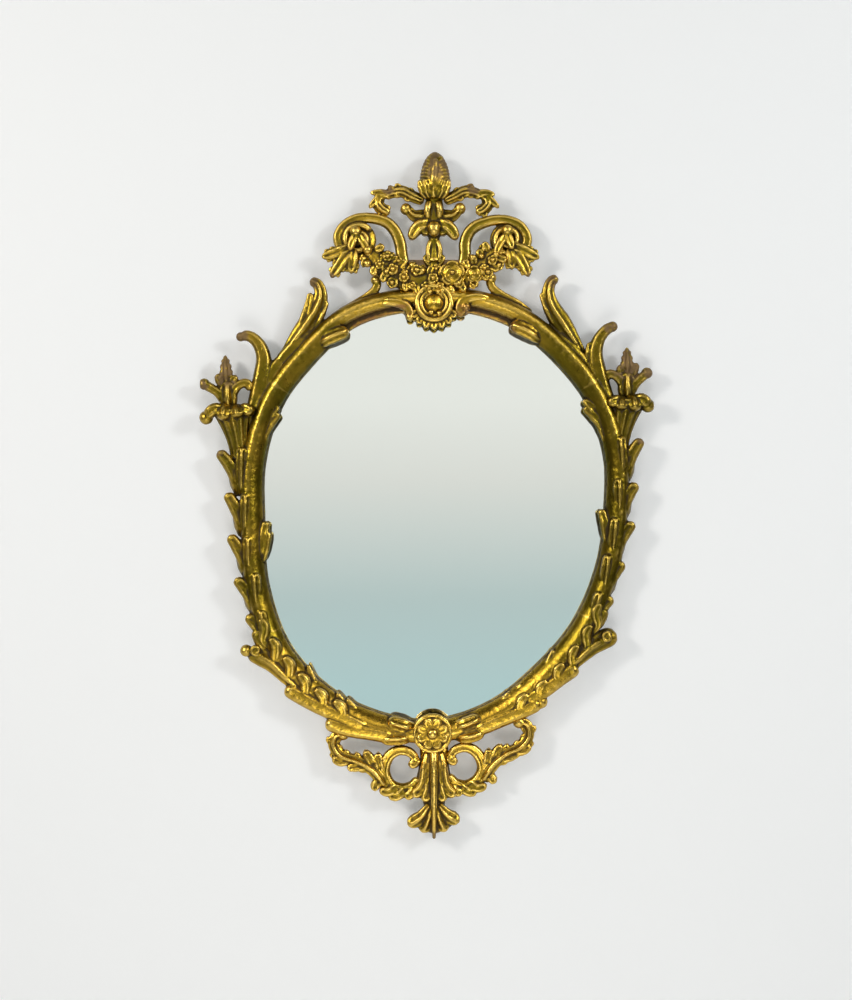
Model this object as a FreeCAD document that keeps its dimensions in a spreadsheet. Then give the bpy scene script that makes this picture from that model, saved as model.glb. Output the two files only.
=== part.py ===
"""Hanging wall mirror in a carved and gilded wood frame with a pierced crest and apron.

Millimetres. The mirror faces -Y, +Z is up, and the wall is the plane y = 0.
Depths are distances from the wall. Every size is a cell of the sheet called Sizes.
Tables whose names end in PIXELS hold places read from the picture of the object; they only give
proportions, and the sizes in the sheet turn them into lengths.
"""
import FreeCAD
import Part
import Sketcher
import math
import os
from FreeCAD import Placement, Rotation, Vector

SIZES = {
    # Sight opening, the part of the glass that can be seen
    "sight_half_width": 171.5,
    "sight_height": 408.5,
    # Rail section
    "rail_width": 23.0,
    "rebate_width": 7.0,
    "wall_gap": 6.0,
    "lip_thickness": 3.0,
    "cove_width": 6.0,
    "cove_rise": 5.5,
    "rail_depth": 24.5,
    "rail_flank": 15.0,
    # Glass, silvering and back board
    "glass_thickness": 3.7,
    "silvering_thickness": 0.3,
    "board_thickness": 3.0,
    "glass_lap": 5.8,
    # Crest and apron
    "crest_half_width": 102.0,
    "crest_height": 137.5,
    "crest_axis_depth": 18.0,
    "apron_half_width": 106.0,
    "apron_height": 96.0,
    "crest_brace_width": 72.0,
    "crest_brace_height": 30.0,
    "apron_brace_width": 18.0,
    "apron_brace_height": 44.0,
    "brace_tongue_width": 24.0,
    "brace_thickness": 6.0,
    # Turned and round ornaments
    "stem_radius": 6.0,
    "knop_radius": 10.0,
    "knop_height": 12.5,
    "finial_radius": 13.5,
    "finial_height": 24.0,
    "calyx_radius": 16.0,
    "calyx_height": 11.5,
    "scroll_eye_radius": 16.5,
    "scroll_eye_rise": 5.0,
    "cartouche_radius": 17.0,
    "cartouche_back": 19.0,
    "cartouche_depth": 17.0,
    "cartouche_dome_radius": 9.0,
    "cartouche_dome_rise": 7.0,
    "cartouche_ring_wire": 3.2,
    "fan_radius": 25.0,
    "fan_lobe_width": 8.0,
    "fan_lobe_back": 20.0,
    "fan_lobe_front": 30.0,
    "rosette_radius": 20.0,
    "rosette_back": 17.0,
    "rosette_depth": 16.0,
    "rosette_petal_length": 8.0,
    "rosette_petal_width": 5.2,
    "rosette_petal_rise": 6.0,
    "rosette_button_radius": 5.5,
    "rosette_rim_wire": 2.6,
    "large_rose_radius": 12.0,
    "small_rose_radius": 8.0,
    "rose_seat_depth": 34.0,
    # Carved limbs: width across, depth of the back and depth of the front
    "flame_leaf_width": 16.0,
    "flame_leaf_back": 10.0,
    "flame_leaf_front": 29.0,
    "flame_lobe_width": 9.0,
    "flame_lobe_back": 11.0,
    "flame_lobe_front": 25.0,
    "side_flame_width": 14.0,
    "side_flame_back": 10.0,
    "side_flame_front": 28.0,
    "inner_leaf_width": 11.0,
    "inner_leaf_back": 16.6,
    "inner_leaf_front": 33.0,
    "tendril_width": 8.0,
    "tendril_back": 11.0,
    "tendril_front": 23.0,
    "husk_outer_width": 13.0,
    "husk_outer_back": 9.0,
    "husk_outer_front": 29.0,
    "husk_front_width": 12.0,
    "husk_front_back": 18.0,
    "husk_front_front": 36.0,
    "cup_width": 38.0,
    "cup_back": 8.0,
    "cup_front": 37.0,
    "cup_lobe_width": 14.0,
    "cup_lobe_back": 13.0,
    "cup_lobe_front": 34.0,
    "hood_width": 20.0,
    "hood_back": 9.0,
    "hood_front": 29.0,
    "bud_width": 13.0,
    "bud_back": 11.0,
    "bud_front": 26.0,
    "cup_curl_width": 9.0,
    "cup_curl_back": 11.5,
    "cup_curl_front": 25.0,
    "curl_leaf_width": 17.0,
    "curl_leaf_back": 8.0,
    "curl_leaf_front": 34.0,
    "acanthus_lobe_width": 11.0,
    "acanthus_lobe_back": 17.5,
    "acanthus_lobe_front": 34.5,
    "rib_width": 16.0,
    "rib_back": 8.0,
    "rib_front": 32.0,
    "wrap_width": 14.0,
    "wrap_back": 9.0,
    "wrap_front": 33.0,
    "scroll_width": 12.0,
    "scroll_back": 12.0,
    "scroll_front": 25.0,
    "arm_width": 10.0,
    "arm_back": 12.5,
    "arm_front": 23.0,
    "stem_curl_width": 8.0,
    "stem_curl_back": 13.0,
    "stem_curl_front": 24.0,
    "collar_lobe_width": 12.0,
    "collar_lobe_back": 13.0,
    "collar_lobe_front": 28.0,
    "drop_leaf_width": 13.0,
    "drop_leaf_back": 16.0,
    "drop_leaf_front": 32.0,
    "garland_width": 29.0,
    "garland_back": 24.0,
    "garland_front": 35.0,
    "pendant_width": 30.0,
    "pendant_back": 12.0,
    "pendant_front": 33.0,
    "pendant_lobe_width": 13.0,
    "pendant_lobe_back": 12.0,
    "pendant_lobe_front": 31.0,
    "loop_width": 9.0,
    "loop_back": 11.0,
    "loop_front": 25.0,
    "apron_scroll_width": 16.0,
    "apron_scroll_back": 9.0,
    "apron_scroll_front": 29.0,
    "apron_lobe_width": 10.0,
    "apron_lobe_back": 10.0,
    "apron_lobe_front": 26.0,
    "gouge_depth": 2.4,
    # Joints between the rail segments
    "dowel_radius": 3.0,
    "dowel_length": 24.0,
    "dowel_setback": 10.0,
    "dowel_spacing": 7.5,
    # Hanging plate and ring
    "plate_length": 46.0,
    "plate_height": 13.0,
    "plate_thickness": 1.5,
    "plate_screw_offset": 18.5,
    "ring_wire_radius": 1.3,
    "ring_radius": 13.0,
    "ring_clearance": 0.3,
    "knuckle_wall": 1.2,
    "knuckle_length": 12.0,
    # Turn buttons
    "button_length": 25.0,
    "button_width": 10.0,
    "button_thickness": 1.4,
    "button_clearance": 0.3,
    # Wood screws
    "screw_shank_radius": 1.5,
    "screw_length": 9.0,
    "screw_head_radius": 2.9,
    "screw_head_height": 1.7,
    "screw_point": 2.5,
    "crest_screw_offset": 26.0,
    "crest_screw_rise": 16.0,
    "apron_screw_drop": 15.0,
    "apron_screw_spacing": 16.0,
    # Wall bumpers
    "bumper_radius": 6.5,
}

# Picture places that fix the proportions
CENTRE_PIXEL = 434.0
SIGHT_TOP_PIXEL = 311.5
SIGHT_HEIGHT_PIXELS = 408.5
SIGHT_HALF_WIDTH_PIXELS = 171.5
RAIL_WIDTH_PIXELS = 23.0
RAIL_TOP_PIXEL = 288.5
RAIL_FOOT_PIXEL = 743.0
CREST_HALF_WIDTH_PIXELS = 102.0
CREST_HEIGHT_PIXELS = 137.5
APRON_HALF_WIDTH_PIXELS = 106.0
APRON_HEIGHT_PIXELS = 96.0

# The sight edge from the top centre down each side to the foot centre
SIGHT_PIXELS = {
    "left": [(434, 311.5), (395, 313), (352, 328), (314, 363), (282, 406), (265, 462), (264, 520),
             (268, 583), (290, 645), (333, 690), (384, 714), (434, 720)],
    "right": [(434, 311.5), (473, 313), (516, 329), (556, 363), (586, 402), (603, 450), (605.5, 493),
              (598, 560), (572, 623), (529, 672), (486, 704), (434, 720)],
}
# Where the segments of the rail meet, as places on the sight edge
JOINT_PIXELS = {
    "left": [(434, 311.5), (290, 394), (281, 628), (434, 720)],
    "right": [(434, 311.5), (579, 391), (578, 612), (434, 720)],
}
SEGMENT_NAMES = ["top", "side", "bottom"]

# Limbs carved on the rail segments, each from its root to its tip
RAIL_LIMB_PIXELS = {
    "rail_top_left": [
        ("flame_leaf", [(284, 354), (303, 329), (317, 305), (320, 289), (313, 280)]),
        ("flame_lobe", [(302, 335), (318, 314), (327, 299)]),
        ("inner_leaf", [(298, 366), (322, 345), (346, 333)]),
        ("tendril", [(350, 307), (366, 297), (376, 288), (377, 279)]),
    ],
    "rail_top_right": [
        ("flame_leaf", [(583, 353), (567, 330), (553, 307), (548, 290), (555, 280)]),
        ("flame_lobe", [(567, 336), (551, 314), (541, 294)]),
        ("inner_leaf", [(562, 362), (537, 338), (512, 324)]),
        ("tendril", [(520, 307), (502, 294), (492, 286), (491, 276)]),
    ],
    "rail_side_left": [
        ("side_flame", [(262, 400), (258, 384), (263, 364), (260, 348), (251, 337), (241, 335)]),
        ("inner_leaf", [(266, 448), (272, 425), (282, 407)]),
        ("inner_leaf", [(263, 562), (265, 541), (269, 519)]),
        ("husk_outer", [(240, 492), (229, 467), (220, 449)]),
        ("husk_front", [(246, 492), (244, 467), (243, 447)]),
        ("husk_outer", [(243, 534), (234, 510), (228, 492)]),
        ("husk_front", [(251, 534), (249, 510), (247, 491)]),
        ("husk_outer", [(247, 574), (237, 552), (231, 535)]),
        ("husk_front", [(255, 574), (252, 552), (250, 534)]),
        ("husk_outer", [(255, 612), (244, 592), (237, 577)]),
        ("husk_front", [(264, 612), (258, 591), (255, 572)]),
        ("husk_outer", [(266, 640), (256, 627), (248, 613)]),
        ("husk_front", [(273, 638), (267, 624), (262, 610)]),
    ],
    "rail_side_right": [
        ("side_flame", [(603, 393), (598, 375), (597, 355), (599, 341), (605, 331), (612, 326)]),
        ("inner_leaf", [(605, 441), (595, 419), (579, 400)]),
        ("inner_leaf", [(602, 546), (600, 526), (595, 505)]),
        ("husk_outer", [(628, 479), (634, 458), (640, 439)]),
        ("husk_front", [(620, 479), (620, 456), (619, 436)]),
        ("husk_outer", [(622, 518), (631, 498), (636, 482)]),
        ("husk_front", [(618, 518), (619, 496), (619, 477)]),
        ("husk_outer", [(614, 558), (624, 538), (633, 521)]),
        ("husk_front", [(610, 558), (614, 536), (616, 516)]),
        ("husk_outer", [(604, 594), (614, 576), (623, 562)]),
        ("husk_front", [(600, 594), (606, 573), (609, 554)]),
        ("husk_outer", [(592, 620), (603, 608), (611, 595)]),
        ("husk_front", [(589, 618), (596, 606), (601, 592)]),
    ],
    "rail_bottom_left": [
        ("curl_leaf", [(303, 691), (285, 673), (266, 657), (248, 651)]),
        ("acanthus_lobe", [(294, 676), (283, 661), (275, 644)]),
        ("acanthus_lobe", [(330, 702), (318, 686), (310, 663)]),
        ("rib", [(372, 729), (340, 715), (310, 700), (284, 686)]),
        ("rib", [(392, 735), (370, 731), (345, 726), (325, 719)]),
        ("wrap", [(416, 737), (400, 737), (381, 739)]),
    ],
    "rail_bottom_right": [
        ("curl_leaf", [(562, 674), (580, 656), (597, 639), (613, 630)]),
        ("acanthus_lobe", [(572, 655), (579, 641), (583, 627)]),
        ("acanthus_lobe", [(535, 690), (548, 672), (553, 646)]),
        ("rib", [(522, 702), (545, 688), (563, 675), (579, 665)]),
        ("rib", [(476, 728), (502, 718), (524, 708), (541, 700)]),
        ("wrap", [(452, 737), (468, 735), (484, 731)]),
    ],
}
# Flared cups on the shoulders of the frame and the buds that stand in them
CUP_PIXELS = {
    "bell_cup_left": [
        ("cup", [(237, 456), (233, 434), (229, 408)]),
        ("cup_lobe", [(228, 413), (216, 412), (206, 419)]),
        ("cup_lobe", [(232, 416), (244, 413), (253, 414)]),
    ],
    "bell_cup_right": [
        ("cup", [(623, 444), (625, 424), (627, 399)]),
        ("cup_lobe", [(629, 404), (640, 402), (650, 406)]),
        ("cup_lobe", [(624, 406), (614, 404), (606, 406)]),
    ],
}
BUD_PIXELS = {
    "bud_finial_left": [
        ("hood", [(229, 407), (228, 392), (227, 377)]),
        ("bud", [(227, 381), (225, 368), (225, 356)]),
        ("cup_curl", [(227, 401), (216, 391), (201, 384)]),
        ("cup_curl", [(230, 396), (240, 387), (251, 388)]),
    ],
    "bud_finial_right": [
        ("hood", [(627, 398), (627, 383), (627, 367)]),
        ("bud", [(627, 371), (627, 359), (627, 348)]),
        ("cup_curl", [(628, 393), (637, 381), (648, 373)]),
        ("cup_curl", [(626, 387), (616, 377), (605, 377)]),
    ],
}
# Limbs of the crest
STEM_LIMB_PIXELS = [
    ("stem_curl", [(430, 224), (421, 217), (414, 209), (407, 210)]),
    ("stem_curl", [(438, 224), (446, 217), (452, 209), (459, 209)]),
    ("collar_lobe", [(433, 222), (421, 229), (411, 238)]),
    ("collar_lobe", [(435, 222), (447, 229), (456, 238)]),
]
ARM_PIXELS = {
    "crest_arm_left": [("arm", [(426, 197), (408, 195), (393, 194), (381, 197), (376, 205), (386, 212)])],
    "crest_arm_right": [("arm", [(442, 197), (460, 194), (475, 193), (487, 197), (490, 205), (478, 212)])],
}
SCROLL_PIXELS = {
    "crest_scroll_left": [("scroll", [(410, 291), (405, 272), (402, 256), (400, 243), (395, 231), (386, 222),
                                      (371, 217), (356, 219), (344, 226), (338, 237), (341, 250)])],
    "crest_scroll_right": [("scroll", [(457, 291), (462, 272), (465, 256), (465, 243), (470, 231),
                                       (480, 223), (495, 219), (510, 221), (521, 227), (527, 238), (525, 250)])],
}
SCROLL_EYE_PIXELS = {"crest_scroll_left": (358, 240), "crest_scroll_right": (508, 240)}
DROP_PIXELS = {
    "crest_drop_left": [
        ("drop_leaf", [(357, 234), (342, 250), (323, 259)]),
        ("drop_leaf", [(357, 236), (343, 257), (331, 277)]),
        ("drop_leaf", [(358, 236), (352, 256), (350, 273)]),
    ],
    "crest_drop_right": [
        ("drop_leaf", [(507, 234), (522, 249), (538, 258)]),
        ("drop_leaf", [(507, 236), (521, 257), (529, 276)]),
        ("drop_leaf", [(506, 236), (512, 254), (512, 268)]),
    ],
}
GARLAND_PIXELS = [("garland", [(368, 255), (380, 267), (402, 277), (434, 279), (462, 276), (482, 266),
                               (495, 253)])]
LARGE_ROSE_PIXEL = (452, 275)
SMALL_ROSE_PIXEL = (474, 276)
FINIAL_FOOT_PIXEL = 197.0
CALYX_PIXEL = 187.0
FINIAL_PIXEL = 175.0
KNOP_PIXEL = 210.5
CARTOUCHE_PIXEL = (434, 305)
ROSETTE_PIXEL = (432.5, 732)
# Limbs of the apron
PENDANT_LIMB_PIXELS = [
    ("pendant", [(434, 744), (434, 768), (434, 800)]),
    ("pendant_lobe", [(431, 762), (423, 780), (416, 798)]),
    ("pendant_lobe", [(437, 762), (445, 780), (451, 798)]),
    ("pendant_lobe", [(433, 796), (424, 812), (407, 824)]),
    ("pendant_lobe", [(433, 796), (429, 815), (423, 832)]),
    ("pendant_lobe", [(434, 790), (434, 815), (434, 838)]),
    ("pendant_lobe", [(435, 796), (440, 815), (446, 831)]),
    ("pendant_lobe", [(435, 796), (444, 812), (460, 821)]),
]
LOOP_PIXELS = {
    "apron_loop_left": [("loop", [(418, 761), (410, 753), (400, 750), (390, 755), (384, 765), (384, 776),
                                  (390, 786), (401, 790), (412, 787), (419, 778)])],
    "apron_loop_right": [("loop", [(448, 758), (456, 750), (466, 747), (476, 752), (483, 762), (483, 772),
                                   (476, 782), (465, 787), (454, 784), (447, 775)])],
}
APRON_SCROLL_PIXELS = {
    "apron_scroll_left": [
        ("apron_scroll", [(384, 786), (373, 770), (357, 761), (341, 756), (333, 746), (336, 735),
                          (346, 732)]),
        ("apron_lobe", [(371, 767), (360, 766), (348, 768)]),
    ],
    "apron_scroll_right": [
        ("apron_scroll", [(484, 781), (494, 764), (508, 753), (521, 747), (530, 737), (528, 724),
                          (517, 720)]),
        ("apron_lobe", [(496, 758), (507, 757), (520, 751)]),
    ],
}
# Places of the turn buttons and the bumpers as shares of each side of the sight edge
BUTTON_SHARES = [0.16, 0.47, 0.80]
BUMPER_SHARE = 0.68

# Width and rise of each kind of limb along its length, as shares of its full width and rise
TAPER_SHARES = {
    "flame_leaf": (0.75, 1.0, 1.0, 0.85, 0.45),
    "flame_lobe": (0.8, 1.0, 0.75, 0.4),
    "side_flame": (0.8, 1.0, 1.0, 0.85, 0.8, 0.5),
    "inner_leaf": (0.9, 1.0, 0.85, 0.4),
    "tendril": (0.8, 0.8, 0.85, 1.0, 0.9),
    "husk_outer": (0.5, 0.95, 1.0, 0.5),
    "husk_front": (0.6, 0.95, 1.0, 0.55),
    "cup": (0.42, 0.5, 0.62, 0.8, 1.0),
    "cup_lobe": (1.0, 1.0, 0.95, 0.6),
    "hood": (0.8, 1.0, 0.95, 0.5),
    "bud": (0.7, 1.0, 0.85, 0.3),
    "cup_curl": (1.0, 0.8, 0.8, 1.0, 0.7),
    "curl_leaf": (0.9, 1.0, 1.0, 0.9, 0.8),
    "acanthus_lobe": (1.0, 1.0, 0.85, 0.4),
    "rib": (0.9, 1.0, 1.0, 1.0, 0.85),
    "wrap": (1.0, 1.0, 0.95, 0.8),
    "scroll": (1.0, 1.0, 1.0, 0.95, 0.9, 0.8, 0.65),
    "arm": (0.8, 0.9, 1.0, 0.95, 0.8, 0.6),
    "stem_curl": (1.0, 0.8, 0.75, 0.85, 0.8),
    "collar_lobe": (0.9, 1.0, 0.8, 0.35),
    "fan_lobe": (0.55, 0.8, 1.0, 0.4),
    "drop_leaf": (0.6, 0.9, 1.0, 0.8, 0.3),
    "garland": (0.45, 0.85, 1.0, 0.9, 0.95, 0.8, 0.4),
    "pendant": (1.0, 0.9, 0.85, 0.95, 0.75),
    "pendant_lobe": (0.7, 0.95, 1.0, 0.4),
    "loop": (0.7, 0.9, 1.0, 1.0, 1.0, 0.9, 0.7),
    "apron_scroll": (0.6, 0.9, 1.0, 0.9, 0.75, 0.6),
    "apron_lobe": (0.9, 1.0, 0.8, 0.4),
}
RISE_SHARES = {
    "flame_leaf": (1.0, 0.95, 0.85, 0.8, 0.6),
    "side_flame": (1.0, 0.95, 0.85, 0.75, 0.6),
    "cup": (0.55, 0.62, 0.72, 0.88, 1.0),
    "bud": (0.8, 1.0, 0.85, 0.4),
    "curl_leaf": (0.9, 1.0, 0.95, 0.75),
    "scroll": (0.9, 1.0, 1.0, 0.9),
    "garland": (0.7, 0.95, 1.0, 1.0, 1.0, 0.95, 0.7),
    "drop_leaf": (1.0, 0.95, 0.8, 0.5),
    "pendant_lobe": (1.0, 0.95, 0.8, 0.45),
    "husk_outer": (0.75, 0.9, 1.0, 0.7),
    "husk_front": (0.75, 0.9, 1.0, 0.7),
}
PLAIN_RISE_SHARES = (1.0, 1.0, 0.9, 0.7)
GOUGED_KINDS = ("flame_leaf", "side_flame", "inner_leaf", "husk_outer", "husk_front", "cup_lobe",
                "acanthus_lobe", "wrap", "collar_lobe", "drop_leaf", "pendant_lobe", "apron_scroll")
SHOULDER_SHARE = 0.6
RAIL_CREST_SHARE = 0.55

SCREW_CROWN_SHARE = 0.6
SCREW_RIM_SHARE = 0.35
PETAL_COUNT = 8
PETAL_RING_SHARE = 0.55
ROSETTE_DISC_SHARE = 0.6
ROSE_PETAL_COUNT = 5
ROSE_PETAL_SHARES = (0.55, 0.5, 0.5)
ROSE_HEART_SHARE = 0.42
FAN_LOBE_COUNT = 9
FAN_ANGLE = 136.0
FAN_SHARES = (0.45, 0.75, 1.0)
QUARTER_TURN = 90.0
HALF_TURN = 180.0
FULL_TURN = 360.0
STATIONS_PER_POINT = 2
RAIL_STATIONS = 8

doc = FreeCAD.newDocument("WallMirror")
sheet = doc.addObject("Spreadsheet::Sheet", "Sizes")
for row, (alias, value) in enumerate(SIZES.items(), start=1):
    sheet.set(f"A{row}", alias)
    sheet.set(f"B{row}", str(value))
    sheet.setAlias(f"B{row}", alias)
doc.recompute()


def size(alias):
    """Length in the named cell of the sheet."""
    return float(sheet.get(alias))


# Levels shared by several pieces
board_back = size("wall_gap")
board_front = board_back + size("board_thickness")
glass_back = board_front + size("silvering_thickness")
lip_back = glass_back + size("glass_thickness")
lip_front = lip_back + size("lip_thickness")
cove_front = lip_front + size("cove_rise")
rail_front = board_back + size("rail_depth")
sight_top = -(size("rebate_width") + size("rail_width")) / 2
sight_bottom = sight_top - size("sight_height")
rail_top = sight_top + size("rail_width")
rail_foot = sight_bottom - size("rail_width")

pieces = {}


def keep(node, shape):
    """Add a shape to the document as the piece of that name."""
    feature = doc.addObject("Part::Feature", node)
    feature.Label = node
    feature.Shape = shape
    pieces[node] = feature
    return feature


def in_depth(point, depth):
    """The place at that depth in front of the wall, at the point's x and z."""
    return Vector(point.x, -depth, point.z)


def on_sight_plane(pixel):
    """Turn a picture place into a place on the wall, scaled with the sight opening."""
    across = (pixel[0] - CENTRE_PIXEL) * size("sight_half_width") / SIGHT_HALF_WIDTH_PIXELS
    down = (pixel[1] - SIGHT_TOP_PIXEL) * size("sight_height") / SIGHT_HEIGHT_PIXELS
    return Vector(across, 0, sight_top - down)


def on_crest(pixel):
    """Turn a picture place into a place on the wall, scaled with the crest."""
    across = (pixel[0] - CENTRE_PIXEL) * size("crest_half_width") / CREST_HALF_WIDTH_PIXELS
    rise = (RAIL_TOP_PIXEL - pixel[1]) * size("crest_height") / CREST_HEIGHT_PIXELS
    return Vector(across, 0, rail_top + rise)


def on_apron(pixel):
    """Turn a picture place into a place on the wall, scaled with the apron."""
    across = (pixel[0] - CENTRE_PIXEL) * size("apron_half_width") / APRON_HALF_WIDTH_PIXELS
    drop = (pixel[1] - RAIL_FOOT_PIXEL) * size("apron_height") / APRON_HEIGHT_PIXELS
    return Vector(across, 0, rail_foot - drop)


def smooth_curve(points, start=None, end=None):
    """Smooth curve through points, with set directions at its ends where they are given."""
    curve = Part.BSplineCurve()
    if start is None:
        curve.interpolate(Points=points)
    else:
        curve.interpolate(Points=points, InitialTangent=start, FinalTangent=end, Scale=False)
    return curve


OUTWARD = {"left": -1, "right": 1}
sight_curves = {}
for side, pixels in SIGHT_PIXELS.items():
    away = Vector(OUTWARD[side], 0, 0)
    sight_curves[side] = smooth_curve([on_sight_plane(pixel) for pixel in pixels], away, -away)


def along(curve, share):
    """Parameter at that share of a curve's length."""
    return curve.parameterAtDistance(curve.length() * share, curve.FirstParameter)


def outward(side, parameter):
    """Direction in the wall plane that points away from the glass."""
    tangent = sight_curves[side].tangent(parameter)[0]
    return Vector(-tangent.z, 0, tangent.x) * OUTWARD[side]


def beside_sight(side, parameter, inset):
    """Place at a distance outside the sight edge."""
    return sight_curves[side].value(parameter) + outward(side, parameter) * inset


def on_ring(pixel):
    """Turn a picture place into a place that keeps its share of the rail's width."""
    point = on_sight_plane(pixel)
    side = "left" if point.x < 0 else "right"
    curve = sight_curves[side]
    foot = curve.value(curve.parameter(point))
    return foot + (point - foot) * (size("rail_width") / RAIL_WIDTH_PIXELS)


def wire_of(edges):
    """Closed wire from curves laid end to end."""
    return Part.Wire([edge.toShape() for edge in edges])


def rail_section(side, parameter):
    """Section of the rail: lip, cove, torus, flank, back and rebate."""
    foot = sight_curves[side].value(parameter)
    away = outward(side, parameter)

    def at(inset, depth):
        return in_depth(foot + away * inset, depth)

    cove = size("cove_width")
    width = size("rail_width")
    rebate = size("rebate_width")
    crest = cove + (width - cove) * RAIL_CREST_SHARE
    flank_front = board_back + size("rail_flank")
    cove_dip = math.cos(math.radians(QUARTER_TURN / 2))
    dip = at(cove * cove_dip, lip_front + (cove_front - lip_front) * (1 - cove_dip))
    return wire_of([
        Part.LineSegment(at(0, lip_back), at(0, lip_front)),
        Part.Arc(at(0, lip_front), dip, at(cove, cove_front)),
        Part.Arc(at(cove, cove_front), at(crest, rail_front), at(width, flank_front)),
        Part.LineSegment(at(width, flank_front), at(width, board_back)),
        Part.LineSegment(at(width, board_back), at(rebate, board_back)),
        Part.LineSegment(at(rebate, board_back), at(rebate, lip_back)),
        Part.LineSegment(at(rebate, lip_back), at(0, lip_back)),
    ])


def rail_segment(side, first, last):
    """Length of rail between two parameters of the sight edge."""
    curve = sight_curves[side]
    first_length = curve.length(curve.FirstParameter, first) if first > curve.FirstParameter else 0
    last_length = curve.length(curve.FirstParameter, last)
    sections = []
    for station in range(RAIL_STATIONS):
        reach = first_length + (last_length - first_length) * station / (RAIL_STATIONS - 1)
        parameter = curve.parameterAtDistance(reach, curve.FirstParameter)
        sections.append(rail_section(side, parameter))
    return Part.makeLoft(sections, True, False)


def share_at(shares, progress):
    """Value of a list of evenly spaced shares at a progress from 0 to 1."""
    place = progress * (len(shares) - 1)
    lower = min(int(place), len(shares) - 2)
    return shares[lower] + (shares[lower + 1] - shares[lower]) * (place - lower)


def limb(kind, spine):
    """Carved limb with a flat back: a rounded rod, or a leaf gouged along its middle."""
    curve = smooth_curve(spine)
    stations = STATIONS_PER_POINT * len(spine) + 1
    back = size(kind + "_back")
    rise = size(kind + "_front") - back
    sections = []
    for station in range(stations):
        progress = station / (stations - 1)
        parameter = along(curve, progress)
        middle = curve.value(parameter)
        tangent = curve.tangent(parameter)[0]
        across = Vector(tangent.z, 0, -tangent.x)
        half = size(kind + "_width") / 2 * share_at(TAPER_SHARES[kind], progress)
        height = rise * share_at(RISE_SHARES.get(kind, PLAIN_RISE_SHARES), progress)
        front = back + height
        shoulder = front - min(half, height * SHOULDER_SHARE)

        def at(offset, depth):
            return in_depth(middle + across * offset, depth)

        edges = [Part.LineSegment(at(half, back), at(-half, back)),
                 Part.LineSegment(at(-half, back), at(-half, shoulder))]
        if kind in GOUGED_KINDS:
            valley = front - min(size("gouge_depth"), (front - shoulder) / 2)
            edges.append(Part.Arc(at(-half, shoulder), at(-half / 2, front), at(0, valley)))
            edges.append(Part.Arc(at(0, valley), at(half / 2, front), at(half, shoulder)))
        else:
            edges.append(Part.Arc(at(-half, shoulder), at(0, front), at(half, shoulder)))
        edges.append(Part.LineSegment(at(half, shoulder), at(half, back)))
        sections.append(wire_of(edges))
    return Part.makeLoft(sections, True, False)


def limbs(table, place):
    """All limbs of a table, with each picture place turned into a length by the given rule."""
    return [limb(kind, [place(pixel) for pixel in pixels]) for kind, pixels in table]


def largest(shape):
    """The largest solid of a shape."""
    return max(shape.Solids, key=lambda solid: solid.Volume)


def joined(shapes):
    """One solid from shapes that run into each other."""
    whole = shapes[0].fuse(shapes[1:]) if len(shapes) > 1 else shapes[0]
    return largest(whole)


def fitted(shape, neighbours):
    """A shape with its neighbours cut away, so that it seats on them."""
    near = [other for other in neighbours if other.BoundBox.intersect(shape.BoundBox)]
    return largest(shape.cut(near)) if near else largest(shape)


# Rail segments with the leaves that are carved on them
plain_rails = {}
stops = {}
for side, pixels in JOINT_PIXELS.items():
    stops[side] = [sight_curves[side].parameter(on_sight_plane(pixel)) for pixel in pixels]
    for name, first, last in zip(SEGMENT_NAMES, stops[side], stops[side][1:]):
        plain_rails[f"rail_{name}_{side}"] = rail_segment(side, first, last)


def box_between(low, high):
    """Box from its lowest to its highest corner."""
    span = high - low
    return Part.makeBox(span.x, span.y, span.z, low)


# Housings cut in the backs of the rails for the tongues of the two braces
brace_front = board_back + size("brace_thickness")
tongue_half = size("brace_tongue_width") / 2
crest_housing = box_between(Vector(-tongue_half, -brace_front, sight_top + size("rebate_width")),
                            Vector(tongue_half, -board_back, rail_top))
apron_housing = box_between(Vector(-tongue_half, -brace_front, rail_foot),
                            Vector(tongue_half, -board_back, sight_bottom - size("rebate_width")))

# Loose dowels that align the segments at each joint
rail_middle = (size("rebate_width") + size("rail_width")) / 2


def joint_dowels(side, parameter):
    """Pair of dowels that cross a joint of the rail, one behind the other."""
    centre = beside_sight(side, parameter, rail_middle)
    direction = sight_curves[side].tangent(parameter)[0]
    dowels = []
    for row in range(2):
        depth = board_back + size("dowel_setback") + size("dowel_spacing") * row
        start = in_depth(centre, depth) - direction * (size("dowel_length") / 2)
        dowels.append(Part.makeCylinder(size("dowel_radius"), size("dowel_length"), start, direction))
    return dowels


dowels = joint_dowels("left", stops["left"][0]) + joint_dowels("left", stops["left"][-1])
for side in JOINT_PIXELS:
    for stop in stops[side][1:-1]:
        dowels += joint_dowels(side, stop)

# Places of the screws: a point on the seat under each head
plate_seats = []
button_seats = []
brace_seats = []
seat_depths = {
    "plate": board_back - size("plate_thickness"),
    "button": board_back - size("button_thickness"),
    "brace": board_back,
}
for side in JOINT_PIXELS:
    across = OUTWARD[side]
    plate_seats.append(Vector(size("plate_screw_offset") * across, -seat_depths["plate"], 0))
    brace_seats.append(Vector(size("crest_screw_offset") * across, -seat_depths["brace"],
                              rail_top + size("crest_screw_rise")))
    for share in BUTTON_SHARES:
        parameter = along(sight_curves[side], share)
        button_seats.append(in_depth(beside_sight(side, parameter, rail_middle), seat_depths["button"]))
for row in range(2):
    drop = size("apron_screw_drop") + size("apron_screw_spacing") * row
    brace_seats.append(Vector(0, -seat_depths["brace"], rail_foot - drop))


def pilot_holes(seats):
    """Holes that the screws cut for themselves."""
    return [Part.makeCylinder(size("screw_shank_radius"), size("screw_length"), seat, Vector(0, -1, 0))
            for seat in seats]


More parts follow.
